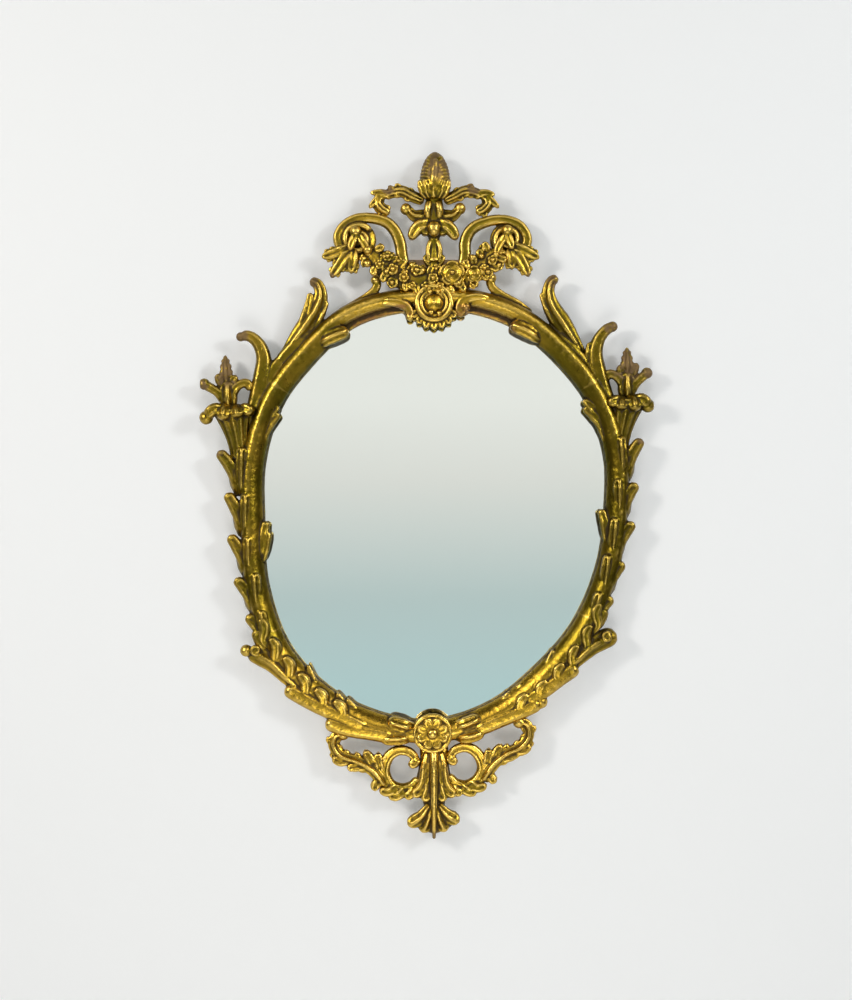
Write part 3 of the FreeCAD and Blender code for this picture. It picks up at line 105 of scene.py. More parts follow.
# Kinds of carved limb: width, depth of back and front, shares of width and rise along it, its grooves,
# and the pairs of side lobes that make it a leaf, with their reach as a share of the half width
KINDS = {
    "flame_leaf": dict(width=21, back=9, front=29, taper=(0.35, 0.55, 0.85, 1, 0.85, 0.6, 0.45),
                       rise=(0.62, 0.85, 1, 1, 1, 0.95), grooves=2, cut=2.2),
    "flame_lobe": dict(width=10, back=10, front=28, taper=(0.6, 1, 1, 0.6),
                       rise=(0.7, 0.9, 1, 0.9), grooves=1, cut=2.2),
    "side_flame": dict(width=18.5, back=9, front=29, taper=(0.5, 0.8, 1, 1, 0.95, 0.8, 0.65, 0.55),
                       rise=(0.75, 0.9, 1, 1, 0.95), grooves=1, cut=1.8),
    "shoulder_band": dict(width=15, back=8, front=28, taper=(0.5, 1, 1, 1, 0.6),
                          rise=(0.8, 0.95, 1, 0.95, 0.8), grooves=1, cut=1.4),
    "inner_leaf": dict(width=10, back=14, front=27.5, taper=(0.5, 0.9, 1, 0.85),
                       rise=(0.8, 0.95, 1, 0.9), grooves=1, cut=1.8),
    "tendril": dict(width=9.5, back=10, front=24, taper=(0.6, 0.9, 1, 0.9, 1),
                    rise=(0.9, 1, 1, 0.95), grooves=1, cut=1.4),
    "husk_body": dict(width=21, back=8, front=27, taper=(0.65, 1, 1, 0.8), rise=(0.85, 1, 1, 0.9)),
    "husk_outer": dict(width=14, back=9, front=30, taper=(0.8, 1, 1, 0.75),
                       rise=(0.75, 0.9, 1, 0.95), grooves=1, cut=2.6),
    "husk_front": dict(width=12.5, back=14, front=33, taper=(0.4, 0.75, 1, 1, 0.9),
                       rise=(0.7, 0.84, 0.95, 1, 0.97), grooves=2, cut=2.2),
    "husk_bulge": dict(width=13, back=9, front=30, taper=(0.6, 1, 0.9),
                       rise=(0.8, 1, 0.95), grooves=1, cut=1.8),
    "cup_curl": dict(width=12.5, back=13, front=35.5, taper=(0.8, 1, 1, 0.9),
                     rise=(0.85, 1, 1, 0.9), grooves=1, cut=2.0),
    "cup_lobe": dict(width=15, back=13, front=37, taper=(0.75, 1, 1, 0.85),
                     rise=(0.72, 0.95, 1, 0.9), grooves=2, cut=1.8),
    "hood": dict(width=19, back=9, front=29, taper=(0.8, 1, 0.95, 0.7), grooves=2, cut=3.2),
    "bud": dict(width=13, back=11, front=27, taper=(0.8, 1, 0.75, 0.2),
                rise=(0.85, 1, 0.9, 0.6), grooves=2, cut=1.6, pairs=3, lobe=1.3),
    "bud_lobe": dict(width=9.5, back=11, front=26, taper=(0.9, 1, 0.7), grooves=1, cut=1.6),
    "bud_curl": dict(width=12, back=11, front=26, taper=(1, 0.85, 0.75, 0.8, 0.85), grooves=1, cut=1.6),
    "curl_leaf": dict(width=21, back=8, front=32, taper=(0.45, 0.62, 0.8, 0.98, 0.95),
                      rise=(0.9, 1, 1, 0.9), grooves=2, cut=2.2),
    "comma": dict(width=11.5, back=16, front=34, taper=(0.15, 0.55, 0.95, 1, 0.45),
                  rise=(0.7, 0.86, 0.96, 1, 0.95), grooves=1, cut=1.5),
    "spike": dict(width=8, back=14, front=27, taper=(1, 0.9, 0.7, 0.3), grooves=1, cut=1.4),
    "log": dict(width=16, back=8, front=33, taper=(0.8, 1, 1, 1, 1), rise=(1, 1, 1, 1), grooves=1, cut=1.0),
    "wrap": dict(width=15, back=9, front=34, taper=(0.3, 0.8, 1, 0.95, 0.75),
                 rise=(0.8, 0.95, 1, 1, 0.9), grooves=2, cut=2.2, sink=0.45),
    "scroll": dict(width=12.5, back=12, front=25, taper=(1, 1, 1, 0.95, 0.85, 0.85, 0.8),
                   rise=(0.9, 1, 1, 0.95), grooves=1, cut=1.8),
    "coil": dict(width=6.5, back=13, front=26.5, taper=(1, 0.95, 0.85, 0.8)),
    "small_coil": dict(width=3.4, back=22, front=33.4, taper=(0.6, 1, 0.95, 0.9)),
    "arm": dict(width=12.5, back=12.5, front=25, taper=(0.8, 0.95, 1, 1, 0.9, 0.8),
                grooves=3, cut=2.0, pairs=2, lobe=1.5),
    "arm_leaf": dict(width=9, back=13, front=25, taper=(1, 1, 0.8, 0.4), grooves=1, cut=1.8),
    "calyx_leaf": dict(width=7.5, back=18, front=34.5, taper=(0.7, 1, 0.9, 0.5),
                       rise=(0.75, 0.95, 1, 0.9), grooves=1, cut=1.6),
    "finial_rib": dict(width=10, back=20, front=35, taper=(0.7, 1, 1, 0.9, 0.5),
                       rise=(0.7, 0.9, 1, 0.93, 0.7)),
    "stem_curl": dict(width=17, back=12, front=26.5, taper=(0.9, 1, 0.85, 0.62, 0.55), grooves=2, cut=2.0),
    "skirt": dict(width=13, back=12, front=30.5, taper=(0.8, 1, 1, 0.6),
                  rise=(1, 1, 0.92, 0.78), grooves=1, cut=2.2),
    "skirt_front": dict(width=15, back=18, front=34, taper=(0.8, 1, 0.9, 0.4), rise=(0.85, 1, 0.92, 0.7)),
    "knop_cheek": dict(width=7.5, back=16, front=31, taper=(0.7, 1, 1, 0.7), rise=(0.85, 1, 1, 0.85)),
    "shaft_rib": dict(width=5.5, back=13, front=25, taper=(0.8, 1, 0.8)),
    "drop_leaf": dict(width=12, back=14, front=31.5, taper=(0.6, 0.95, 1.05, 0.9, 0.4),
                      rise=(1, 1, 0.93, 0.8), grooves=1, cut=2.6, pairs=3, lobe=1.5),
    "garland": dict(width=27, back=22, front=31, taper=(0.5, 0.85, 1.05, 0.95, 0.85, 0.9, 0.75, 0.45)),
    "sprig": dict(width=8.5, back=22, front=34, taper=(0.7, 1, 1, 0.5),
                  rise=(1, 1, 0.95, 0.85), grooves=1, cut=2.0),
    "pendant": dict(width=41, back=12, front=28.5, taper=(0.72, 0.68, 0.8, 1, 0.95), grooves=2, cut=2.6),
    "pendant_waist": dict(width=23, back=12, front=28, taper=(1, 1, 0.95, 1.1), grooves=2, cut=2.0),
    "pendant_ridge": dict(width=8.5, back=12, front=34, taper=(1, 1, 1, 0.8, 0.6, 0.5, 0.4),
                          rise=(0.95, 1, 1, 0.95, 0.9, 0.75)),
    "pendant_leaf": dict(width=13, back=12, front=32, taper=(0.5, 0.9, 1, 0.85),
                         rise=(0.9, 1, 0.95, 0.85), grooves=1, cut=2.6),
    "pendant_fan": dict(width=44, back=12, front=26.5, taper=(0.45, 0.55, 0.9, 1, 0.8), grooves=4, cut=1.6),
    "pendant_lobe": dict(width=15, back=12, front=31, taper=(0.4, 0.75, 1, 0.8),
                         rise=(1, 0.97, 0.9, 0.75), grooves=2, cut=2.2),
    "loop": dict(width=12, back=11, front=26, taper=(0.7, 0.85, 0.95, 1, 1.1, 1.15, 1), grooves=1, cut=2.0),
    "apron_scroll": dict(width=12.5, back=9, front=28, taper=(1, 1.05, 1, 0.95, 0.9, 0.85),
                         grooves=2, cut=2.2, pairs=5, lobe=1.7),
    "apron_lobe": dict(width=11, back=10, front=28, taper=(0.9, 1, 0.95, 0.6), grooves=1, cut=2.2),
    "fan_lobe": dict(width=10, back=19, front=31.5, taper=(0.8, 1, 0.9, 0.4), grooves=1, cut=2.2),
    "end_leaf": dict(width=10, back=16, front=32.5, taper=(0.3, 0.8, 1, 1, 0.9),
                     grooves=1, cut=1.6, sink=0.45),
}
PLAIN_RISE = (1.0, 1.0, 0.95, 0.88)
# A limb's back is narrower than its front and lifts off the wall toward the tip
BACK_WIDTH, BACK_LIFT, BACK_EDGE = 0.66, 0.34, 0.08
# Its ends are rounded, its root sinks into what it grows from, and its sides round off below the front
END_WIDTH, END_HEIGHT, ROOT_ROUNDING = 0.2, 0.8, 3.0
PLAIN_SINK, SINK_LENGTH = 0.2, 14.0
SHOULDER_WIDTH, SHOULDER_HEIGHT = 1.1, 0.7
GROOVE_SHARPNESS, GROOVE_LIMIT = 1.6, 0.55
# Its side lobes start at the first share of its length, spread over the second, and lean away by the angle
LOBE_START, LOBE_SPAN, LOBE_ANGLE = 0.3, 0.6, 0.8
# How strongly fine bends, broad bends and depth behind the front count as a hollow
FINE_ROUNDS, BROAD_ROUNDS = 2, 14
FINE_WEIGHT, BROAD_WEIGHT, RECESS_WEIGHT = 1.6, 3.0, 0.05
RECESS_ROUNDS, RECESS_LIMIT = 12, 6.0
LUMP_SIZE = 0.005
# Ridges of a turned form: how sharply they end at the flanks, where they start, and their slant
FLANK_SHARPNESS, FLANK_START, RIDGE_SLANT = 4.0, 1.2, 4.0
# How far wear reaches past its radius, how far the bole laps over the cove, and the width of its edge
WEAR_REACH, BOLE_LAP, BOLE_FADE = 1.4, 1.5, 2.0

# Limbs carved on the rail segments, each from its root to its tip
RAIL_LIMB_PIXELS = {
    "rail_top_left": [
        ("shoulder_band", [(322, 327), (300, 342), (285, 357), (274, 372)]),
        ("flame_leaf", [(278, 362), (293, 343), (306, 326), (317, 309), (321, 296), (318, 285), (310, 281)]),
        ("flame_lobe", [(304, 337), (318, 319), (327, 301)]),
        ("flame_lobe", [(288, 350), (299, 332), (307, 312), (311, 293)]),
        ("wrap", [(316, 347), (331, 338), (349, 331)]),
        ("tendril", [(338, 312), (354, 305), (367, 297), (376, 288), (377, 279)]),
        ("end_leaf", [(376, 304), (394, 303), (407, 308), (411, 319)]),
    ],
    "rail_top_right": [
        ("shoulder_band", [(544, 328), (566, 345), (580, 359), (592, 375)]),
        ("flame_leaf", [(587, 361), (575, 343), (563, 325), (552, 308), (548, 294), (551, 282), (558, 279)]),
        ("flame_lobe", [(568, 338), (551, 315), (541, 293)]),
        ("flame_lobe", [(577, 349), (565, 329), (557, 307)]),
        ("wrap", [(543, 343), (527, 332), (510, 325)]),
        ("tendril", [(532, 313), (516, 303), (503, 296), (492, 287), (490, 277)]),
        ("end_leaf", [(494, 301), (476, 298), (463, 302), (459, 311), (465, 316)]),
    ],
    "rail_side_left": [
        ("shoulder_band", [(292, 348), (281, 361), (272, 375), (265, 391), (259, 411), (256, 432)]),
        ("side_flame", [(252, 434), (254, 414), (258, 396), (262, 377), (264, 360), (260, 346), (251, 337),
                        (241, 336)]),
        ("inner_leaf", [(262, 448), (267, 430), (279, 413)]),
        ("flame_lobe", [(264, 430), (270, 416), (279, 406)]),
        ("inner_leaf", [(263, 562), (264, 541), (266, 521)]),
        ("inner_leaf", [(264, 560), (266, 545), (268, 531)]),
        ("husk_bulge", [(272, 654), (261, 641), (256, 629)]),
    ],
    "rail_side_right": [
        ("shoulder_band", [(573, 350), (584, 362), (594, 376), (602, 393), (607, 412), (610, 430)]),
        ("side_flame", [(611, 428), (609, 409), (603, 391), (598, 373), (595, 355), (598, 341), (605, 331),
                        (613, 326)]),
        ("flame_lobe", [(594, 374), (589, 358), (590, 342)]),
        ("inner_leaf", [(606, 444), (599, 424), (584, 407)]),
        ("flame_lobe", [(603, 428), (595, 412), (583, 400)]),
        ("inner_leaf", [(607, 547), (605, 529), (601, 509)]),
        ("husk_bulge", [(588, 634), (599, 620), (604, 608)]),
    ],
    "rail_bottom_left": [
        ("curl_leaf", [(303, 692), (287, 677), (270, 661), (249, 650)]),
        ("spike", [(317, 686), (312, 676), (308, 664)]),
        ("spike", [(346, 706), (341, 699), (337, 692)]),
        ("spike", [(357, 711), (352, 705), (347, 698)]),
        ("log", [(372, 729), (342, 716), (312, 702), (286, 687)]),
        ("log", [(398, 737), (372, 732), (347, 728), (326, 721)]),
        ("wrap", [(416, 737), (400, 737), (381, 738)]),
        ("wrap", [(418, 728), (404, 725), (388, 720)]),
    ],
    "rail_bottom_right": [
        ("curl_leaf", [(560, 676), (579, 657), (596, 643), (616, 634)]),
        ("spike", [(543, 670), (549, 660), (553, 649)]),
        ("spike", [(516, 692), (519, 688), (522, 683)]),
        ("spike", [(502, 702), (506, 697), (509, 691)]),
        ("log", [(520, 704), (543, 690), (562, 676), (577, 666)]),
        ("log", [(470, 732), (500, 719), (522, 710), (540, 701)]),
        ("wrap", [(452, 737), (468, 735), (484, 731)]),
        ("wrap", [(450, 728), (464, 724), (480, 717)]),
    ],
}
# Slanted leaflets that run up the middle of the lower rails: first and last place, and their number
COMMA_PIXELS = {
    "rail_bottom_left": ([(350, 716), (318, 696), (292, 671), (272, 645), (262, 626)], 6),
    "rail_bottom_right": ([(512, 711), (545, 687), (570, 660), (588, 634), (599, 610)], 6),
}
COMMA_LENGTH = 33.0
COMMA_BEND = 3.2
COMMA_LEAN = 0.6
COMMA_START, COMMA_SPAN = 0.06, 0.88
# Tips of the husks that hang down the sides: outer tip, front tip, and the root that both share
HUSK_PIXELS = {
    "rail_side_left": [
        ((219, 451), (243, 447), (242, 496)), ((227, 493), (247, 493), (246, 538)),
        ((230, 535), (249, 536), (250, 578)), ((236, 578), (255, 572), (258, 615)),
        ((247, 615), (261, 609), (268, 643)),
    ],
    "rail_side_right": [
        ((641, 439), (619, 436), (623, 483)), ((636, 483), (618, 478), (619, 522)),
        ((633, 522), (615, 517), (611, 562)), ((623, 562), (608, 554), (602, 598)),
        ((612, 597), (600, 591), (590, 624)),
    ],
}
HUSK_BEND, HUSK_BODY_SIDE, HUSK_BODY_REACH = 0.16, 0.6, 0.8
# Round knobs on the rails: place, radius and depth of their middle
RAIL_KNOB_PIXELS = {
    "rail_top_left": [((376, 280), 5.4, 18.5), ((410, 318), 3.8, 27)],
    "rail_top_right": [((491, 278), 5.6, 18.5), ((466, 308), 4.2, 28)],
    "rail_side_left": [((241, 337), 4.8, 22)],
    "rail_side_right": [((612, 327), 5.4, 22)],
    "rail_bottom_left": [((257, 649), 2.0, 30.5), ((247, 650), 6.2, 26.0)],
    "rail_bottom_right": [((606, 636), 2.0, 30.5), ((540, 701), 7.4, 24)],
}
# Eyes of the lower curls
CURL_EYE_PIXELS = {"rail_bottom_left": (257, 649), "rail_bottom_right": (606, 636)}
CURL_EYE_RADIUS = 5.2
# Spirals in the eyes: half turns, first angle and the share of the radius that they wind in by
COIL_HALF_TURNS, COIL_FIRST_ANGLE, COIL_SHRINK, COIL_POINTS = 3.2, 0.6, 0.75, 24
# Flared cups: the axis from foot to rim, with the half width at each place
CUP_PIXELS = {
    "bell_cup_left": [((239, 458), 8), ((238, 444), 10), ((236, 432), 12.5), ((234, 421), 16),
                      ((232, 410), 20)],
    "bell_cup_right": [((620, 448), 8), ((621, 434), 10), ((623, 422), 12.5), ((625, 411), 16),
                       ((627, 400), 20)],
}
CUP_AXIS, CUP_BACK, CUP_FLATNESS = 20.0, 8.0, 0.62
CUP_RIBS, CUP_RIB_SHARE = 12, 0.07
CUP_LIMB_PIXELS = {
    "bell_cup_left": [
        ("cup_curl", [(226, 410), (215, 410), (207, 418)]),
        ("cup_lobe", [(226, 403), (225, 411), (224, 421)]),
        ("cup_lobe", [(237, 404), (238, 411), (239, 419)]),
        ("cup_curl", [(240, 409), (248, 410), (254, 415)]),
    ],
    "bell_cup_right": [
        ("cup_curl", [(632, 401), (641, 400), (648, 407)]),
        ("cup_lobe", [(632, 394), (633, 402), (634, 412)]),
        ("cup_lobe", [(620, 396), (620, 403), (620, 411)]),
        ("cup_curl", [(622, 401), (613, 402), (608, 407)]),
    ],
}
BUD_LIMB_PIXELS = {
    "bud_finial_left": [
        ("hood", [(229, 408), (228, 395), (228, 381)]),
        ("bud_lobe", [(224, 386), (220, 381), (217, 374)]),
        ("bud_lobe", [(229, 386), (233, 381), (236, 375)]),
        ("bud", [(227, 386), (226, 370), (225, 355)]),
        ("bud_curl", [(226, 402), (217, 392), (204, 384)]),
        ("bud_curl", [(230, 398), (237, 387), (246, 383), (252, 390)]),
    ],
    "bud_finial_right": [
        ("hood", [(627, 399), (627, 386), (627, 372)]),
        ("bud_lobe", [(624, 377), (621, 371), (619, 365)]),
        ("bud_lobe", [(631, 377), (634, 370), (637, 363)]),
        ("bud", [(627, 377), (627, 362), (627, 347)]),
        ("bud_curl", [(629, 394), (637, 382), (647, 373)]),
        ("bud_curl", [(626, 389), (618, 378), (609, 374), (603, 382)]),
    ],
}
SHOULDER_KNOB_PIXELS = {
    "bud_finial_left": (204, 384), "bud_finial_right": (647, 373),
    "bell_cup_left": (207, 418), "bell_cup_right": (647, 406),
}
# Knobs at the ends of curls: depth of the middle, and radius
CUP_KNOB, BUD_KNOB, STEM_KNOB, DROP_KNOB, APRON_KNOB = (25.0, 7.0), (18.5, 5.8), (19.0, 6.0), (27.0,
                                                                                               6.0), (20.0,
                                                                                                      6.5)

# Crest: the turned finial and stem as levels with half widths, and their limbs
CREST_AXIS = 18.0
FINIAL_PIXELS = [(200, 8), (195, 12), (189, 15.5), (183, 15.8), (177, 15), (171, 14), (166, 12.6),
                 (161, 10.6),
                 (157, 8.2), (154, 5.4), (151.8, 2)]
FINIAL_LIMB_PIXELS = [
    ("finial_rib", [(433.5, 200), (433.5, 186), (434.5, 174), (435.5, 160)]),
    ("calyx_leaf", [(431, 200), (427, 191), (424, 181)]), ("calyx_leaf",
                                                           [(437, 200), (441, 191), (444, 181)]),
    ("calyx_leaf", [(428, 200), (422, 192), (419, 182)]), ("calyx_leaf",
                                                           [(440, 200), (446, 192), (449, 182)]),
]
FINIAL_PITCH, FINIAL_RIDGE_SHARE = 3.4, 0.03
STEM_PIXELS = [(303, 6), (266, 5.5), (261, 7), (256, 6), (248, 5), (240, 5.5), (230, 7), (223, 8.5),
               (216, 9.5),
               (209, 9.8), (203, 9), (197.5, 7.5)]
STEM_LIMB_PIXELS = [
    ("stem_curl", [(432, 217), (422, 217), (413, 215), (407, 208)]),
    ("stem_curl", [(436, 217), (445, 217), (454, 215), (460, 208)]),
    ("skirt", [(431, 223), (418, 228), (410, 240)]), ("skirt", [(437, 223), (449, 228), (457, 240)]),
    ("skirt", [(432, 223), (427, 229), (423, 236)]), ("skirt", [(436, 223), (441, 229), (445, 236)]),
    ("skirt_front", [(434, 222), (434, 229), (434, 238)]),
    ("knop_cheek", [(429, 221), (427.5, 212), (430, 202)]), ("knop_cheek",
                                                             [(438, 221), (439.5, 212), (437, 202)]),
    ("shaft_rib", [(431, 239), (428, 250), (429, 264)]), ("shaft_rib", [(437, 239), (440, 250), (439, 264)]),
    ("arm_leaf", [(434, 266), (428, 262), (424, 255)]), ("arm_leaf", [(434, 266), (440, 262), (444, 255)]),
]
STEM_KNOB_PIXELS = [(406, 209), (460, 208.5)]
ARM_LIMB_PIXELS = {
    "crest_arm_left": [
        ("arm", [(424, 201), (412, 196), (400, 191), (384, 195)]),
        ("arm_leaf", [(402, 195), (394, 191), (388, 186)]),
        ("arm_leaf", [(392, 196), (381, 193), (370, 193)]),
        ("arm_leaf", [(386, 193), (378, 199), (369, 208)]),
        ("arm", [(381, 196), (378, 203), (382, 209), (390, 213)]),
    ],
    "crest_arm_right": [
        ("arm", [(444, 201), (455, 196), (467, 191), (482, 195)]),
        ("arm_leaf", [(462, 195), (470, 191), (474, 186)]),
        ("arm_leaf", [(474, 196), (485, 193), (495, 195)]),
        ("arm_leaf", [(481, 194), (490, 200), (499, 208)]),
        ("arm", [(485, 196), (488, 203), (484, 209), (476, 213)]),
    ],
}
SCROLL_PIXELS = {
    "crest_scroll_left": [(410, 291), (405, 272), (402, 256), (400, 243), (395, 231), (386, 222), (371, 218),
                          (356, 219), (344, 226), (338, 237), (341, 250)],
    "crest_scroll_right": [(457, 291), (462, 272), (465, 256), (465, 243), (470, 231), (480, 224), (495, 220),
                           (510, 221), (521, 227), (527, 238), (525, 250)],
}
SCROLL_EYE_PIXELS = {"crest_scroll_left": (358, 240), "crest_scroll_right": (508, 240)}
SCROLL_EYE_RADIUS, SCROLL_EYE_DEPTH, SCROLL_EYE_RISE, COIL_INSET = 18.5, 17.5, 5.5, 3.0
DROP_LIMB_PIXELS = {
    "crest_drop_left": [
        ("drop_leaf", [(353, 247), (339, 253), (322, 258)]),
        ("drop_leaf", [(352, 249), (342, 263), (331, 278)]),
        ("drop_leaf", [(354, 249), (353, 262), (351, 274)]),
        ("sprig", [(356, 235), (353, 243), (350, 252)]),
        ("sprig", [(359, 236), (365, 247), (370, 258)]),
    ],
    "crest_drop_right": [
        ("drop_leaf", [(510, 246), (524, 252), (539, 259)]),
        ("drop_leaf", [(511, 248), (521, 262), (529, 277)]),
        ("drop_leaf", [(509, 248), (511, 259), (512, 270)]),
        ("sprig", [(507, 234), (509, 242), (512, 251)]),
        ("sprig", [(505, 236), (499, 247), (495, 257)]),
    ],
}
DROP_KNOB_PIXELS = {"crest_drop_left": (356, 233), "crest_drop_right": (507, 232)}
GARLAND_PIXELS = [(368, 252), (378, 262), (391, 271), (412, 279), (434, 282), (462, 278), (482, 267),
                  (496, 251)]
# Blossoms of the garland that stand out: place, radius and depth
BLOSSOM_PIXELS = [((388, 258), 5.2, 33), ((393, 271), 6.0, 34.5), ((417, 272), 6.0, 34.5),
                  ((404, 279), 5.4, 34),
                  ((433, 280), 5.6, 35), ((426, 288), 5.0, 33), ((440, 288), 4.6, 33), ((492, 262), 5.2,
                                                                                        33.5),
                  ((380, 266), 5.0, 33), ((484, 270), 4.8, 33.5)]
GARLAND_BUDS = 44
GARLAND_SPRIGS = 14
GARLAND_SPREAD = 12.0
# Buds of the garland: mean and swing of their radius and depth, and the angles between one and the next
BUD_RADIUS, BUD_RADIUS_SWING = 4.7, 1.2
BUD_DEPTH, BUD_DEPTH_SWING = 31.0, 2.0
BUD_PLACE_ANGLE, BUD_RADIUS_ANGLE = 2.4, 1.7
BEAD_SINK, BEAD_SHARE = 1.5, 0.75
SPRIG_ROOT, SPRIG_REACH, SPRIG_LEAN = 5.0, 15.0, 4.0
BLOSSOM_PETALS = 5
ROSE_PIXELS = {"large_rose": ((452, 275), 12.5), "small_rose": ((474, 276), 8.5)}
ROSE_SEAT = 34.0
# Rings of petals in a rose: share of its radius and number of petals
ROSE_RINGS = [(0.82, 5), (0.55, 4), (0.3, 3)]
# Finer grain of the small ornaments, as shares of the common grain
FINE_GRAIN, GARLAND_GRAIN, ROSE_GRAIN = 0.8, 0.85, 0.7
# Cartouche and rosette: cushions as depth, radius and rise, hoops as depth, radius and wire, and petals
CARTOUCHE_PIXEL = (434, 304)
CARTOUCHE_BED, CARTOUCHE_DOME, CARTOUCHE_BUTTON = (25.5, 18.0, 5.0), (28.0, 9.8, 6.5), (33.0, 2.2, 2.2)
CARTOUCHE_HOOPS = [(30.5, 17.0, 2.5), (30.2, 12.6, 1.7)]
CARTOUCHE_PETAL = dict(width=6.5, back=22.0, front=35.0, taper=(0.7, 1, 0.8), grooves=1, cut=1.4)
CARTOUCHE_PETAL_REACH, FAN_LOBE_REACH = (1.5, 4.5, 8.0), (14.0, 20.0, 26.5)
CARTOUCHE_PETALS, FAN_LOBES, FAN_FIRST_DEGREES, FAN_STEP_DEGREES = 6, 7, 120, 20
CARTOUCHE_BEAD = (33.0, 2.6)
CARTOUCHE_BEAD_PIXELS = [(430, 293.5), (438, 293.5), (431, 314), (439, 315)]
ROSETTE_PIXEL = (432.5, 732)
ROSETTE_BED, ROSETTE_BUTTON, ROSETTE_HOOP = (26.0, 19.0, 5.8), (31.5, 5.0, 3.2), (28.5, 17.8, 2.2)
ROSETTE_PETAL = dict(width=12.0, back=20.0, front=34.0, taper=(0.45, 0.85, 1, 0.8), grooves=1, cut=1.6)
ROSETTE_PETAL_REACH, ROSETTE_PETALS = (4.0, 10.0, 17.0), 8
APRON_LIMB_PIXELS = {
    "apron_pendant": [
        ("pendant", [(434, 744), (434, 772), (434, 801)]),
        ("pendant_waist", [(434, 792), (434, 803), (434, 814)]),
        ("pendant_fan", [(434, 806), (434, 818), (434, 833)]),
        ("pendant_leaf", [(428, 750), (426, 768), (423, 784), (413, 796)]),
        ("pendant_leaf", [(440, 750), (442, 768), (445, 784), (455, 796)]),
        ("pendant_leaf", [(430, 774), (429, 787), (424, 801)]),
        ("pendant_leaf", [(438, 774), (439, 787), (444, 801)]),
        ("pendant_lobe", [(430, 803), (421, 816), (408, 825)]),
        ("pendant_lobe", [(432, 803), (428, 819), (422, 832)]),
        ("pendant_lobe", [(436, 803), (440, 819), (446, 831)]),
        ("pendant_lobe", [(438, 803), (447, 814), (459, 822)]),
        ("pendant_ridge", [(434, 748), (434, 790), (434, 838)]),
    ],
    "apron_loop_left": [
        ("loop", [(417, 762), (411, 753), (400, 750), (390, 755), (385, 765), (385, 776), (391, 786),
                  (402, 790),
                  (413, 787), (420, 778)]),
        ("apron_lobe", [(398, 785), (389, 791), (379, 790)]),
        ("apron_lobe", [(406, 788), (398, 795), (388, 796)]),
        ("apron_lobe", [(414, 786), (411, 793), (404, 797)]),
        ("apron_lobe", [(418, 757), (414, 763), (408, 764)]),
    ],
    "apron_loop_right": [
        ("loop", [(449, 759), (455, 750), (466, 747), (476, 752), (482, 762), (482, 772), (476, 782),
                  (465, 787),
                  (454, 784), (447, 775)]),
        ("apron_lobe", [(468, 782), (477, 787), (487, 785)]),
        ("apron_lobe", [(460, 785), (468, 791), (477, 792)]),
        ("apron_lobe", [(452, 784), (455, 790), (463, 793)]),
        ("apron_lobe", [(448, 755), (452, 760), (458, 761)]),
    ],
    "apron_scroll_left": [
        ("apron_scroll", [(386, 786), (373, 770), (357, 761), (342, 756), (334, 746), (336, 736),
                          (346, 733)]),
        ("apron_lobe", [(372, 766), (360, 766), (347, 768)]),
        ("apron_lobe", [(383, 779), (376, 784), (375, 791)]),
        ("apron_lobe", [(352, 757), (342, 761), (332, 758)]),
        ("apron_lobe", [(376, 768), (370, 758), (364, 750)]),
        ("apron_lobe", [(382, 772), (379, 762), (378, 752)]),
    ],
    "apron_scroll_right": [
        ("apron_scroll", [(482, 781), (493, 764), (507, 753), (520, 747), (528, 737), (527, 725),
                          (517, 721)]),
        ("apron_lobe", [(495, 758), (507, 757), (520, 752)]),
        ("apron_lobe", [(485, 775), (492, 778), (492, 784)]),
        ("apron_lobe", [(512, 749), (522, 750), (531, 745)]),
        ("apron_lobe", [(492, 762), (497, 751), (502, 744)]),
        ("apron_lobe", [(485, 767), (488, 757), (489, 748)]),
    ],
}
APRON_KNOB_PIXELS = {"apron_scroll_left": (343, 734), "apron_scroll_right": (519, 722)}

# Places where the gilding has worn to brown: place and radius
WORN_PIXELS = [((436, 160), 24), ((226, 368), 22), ((627, 361), 22), ((312, 280), 12), ((556, 279), 12),
               ((240, 337), 10), ((612, 327), 10), ((203, 385), 8), ((650, 372), 8), ((388, 188),
                                                                                      8), ((474, 188), 8),
               ((219, 450), 7), ((641, 438), 7), ((434, 836), 8), ((330, 279), 7), ((530, 278), 7)]

# Back fittings by the material that they are made of
FITTING_NODES = {
    "steel": ["plate_screws", "brace_screws", "button_screws"],
    "brass": ["hanger_plate", "hanging_ring"] + [f"turn_button_{number}" for number in range(1, 7)],
    "felt": ["wall_bumpers"],
    "bare_wood": ["joint_dowels", "crest_brace", "apron_brace"],
    "back_board": ["back_board"],
}

# Stage: the wall and the floor in metres, with the light that they give off
WALL_PLACE, WALL_TOP, FLOOR_LEVEL = 0.0005, 1.8, -1.6
STAGE_HALF_WIDTH, FLOOR_REACH = 2.5, 3.0
WALL_GLOW = 0.205
FLOOR_GLOW, SEEN_FLOOR_GLOW = (0.1, 0.1, 0.1, 1.0), (0.36, 0.37, 0.37, 1.0)
# Lamps: name, place, size, share of the lamp power, and colour
LAMPS = [
    ("Left lamp", (-1.15, -1.3, 0.35), 0.3, 1.0, (1.0, 0.97, 0.93)),
    ("Right lamp", (1.15, -1.3, 0.35), 0.3, 0.8, (0.95, 0.98, 1.0)),
    ("Front lamp", (0.0, -1.5, 0.75), 0.5, 0.2, (0.97, 0.99, 1.0)),
    ("Low lamp", (0.0, -1.4, -1.0), 0.6, 0.45, (1.0, 0.98, 0.95)),
    ("Back lamp", (0.0, 1.6, 0.1), 0.9, 1.3, (1.0, 0.99, 0.97)),
]
LAMP_AIM = (0.0, 0.0, -0.2)
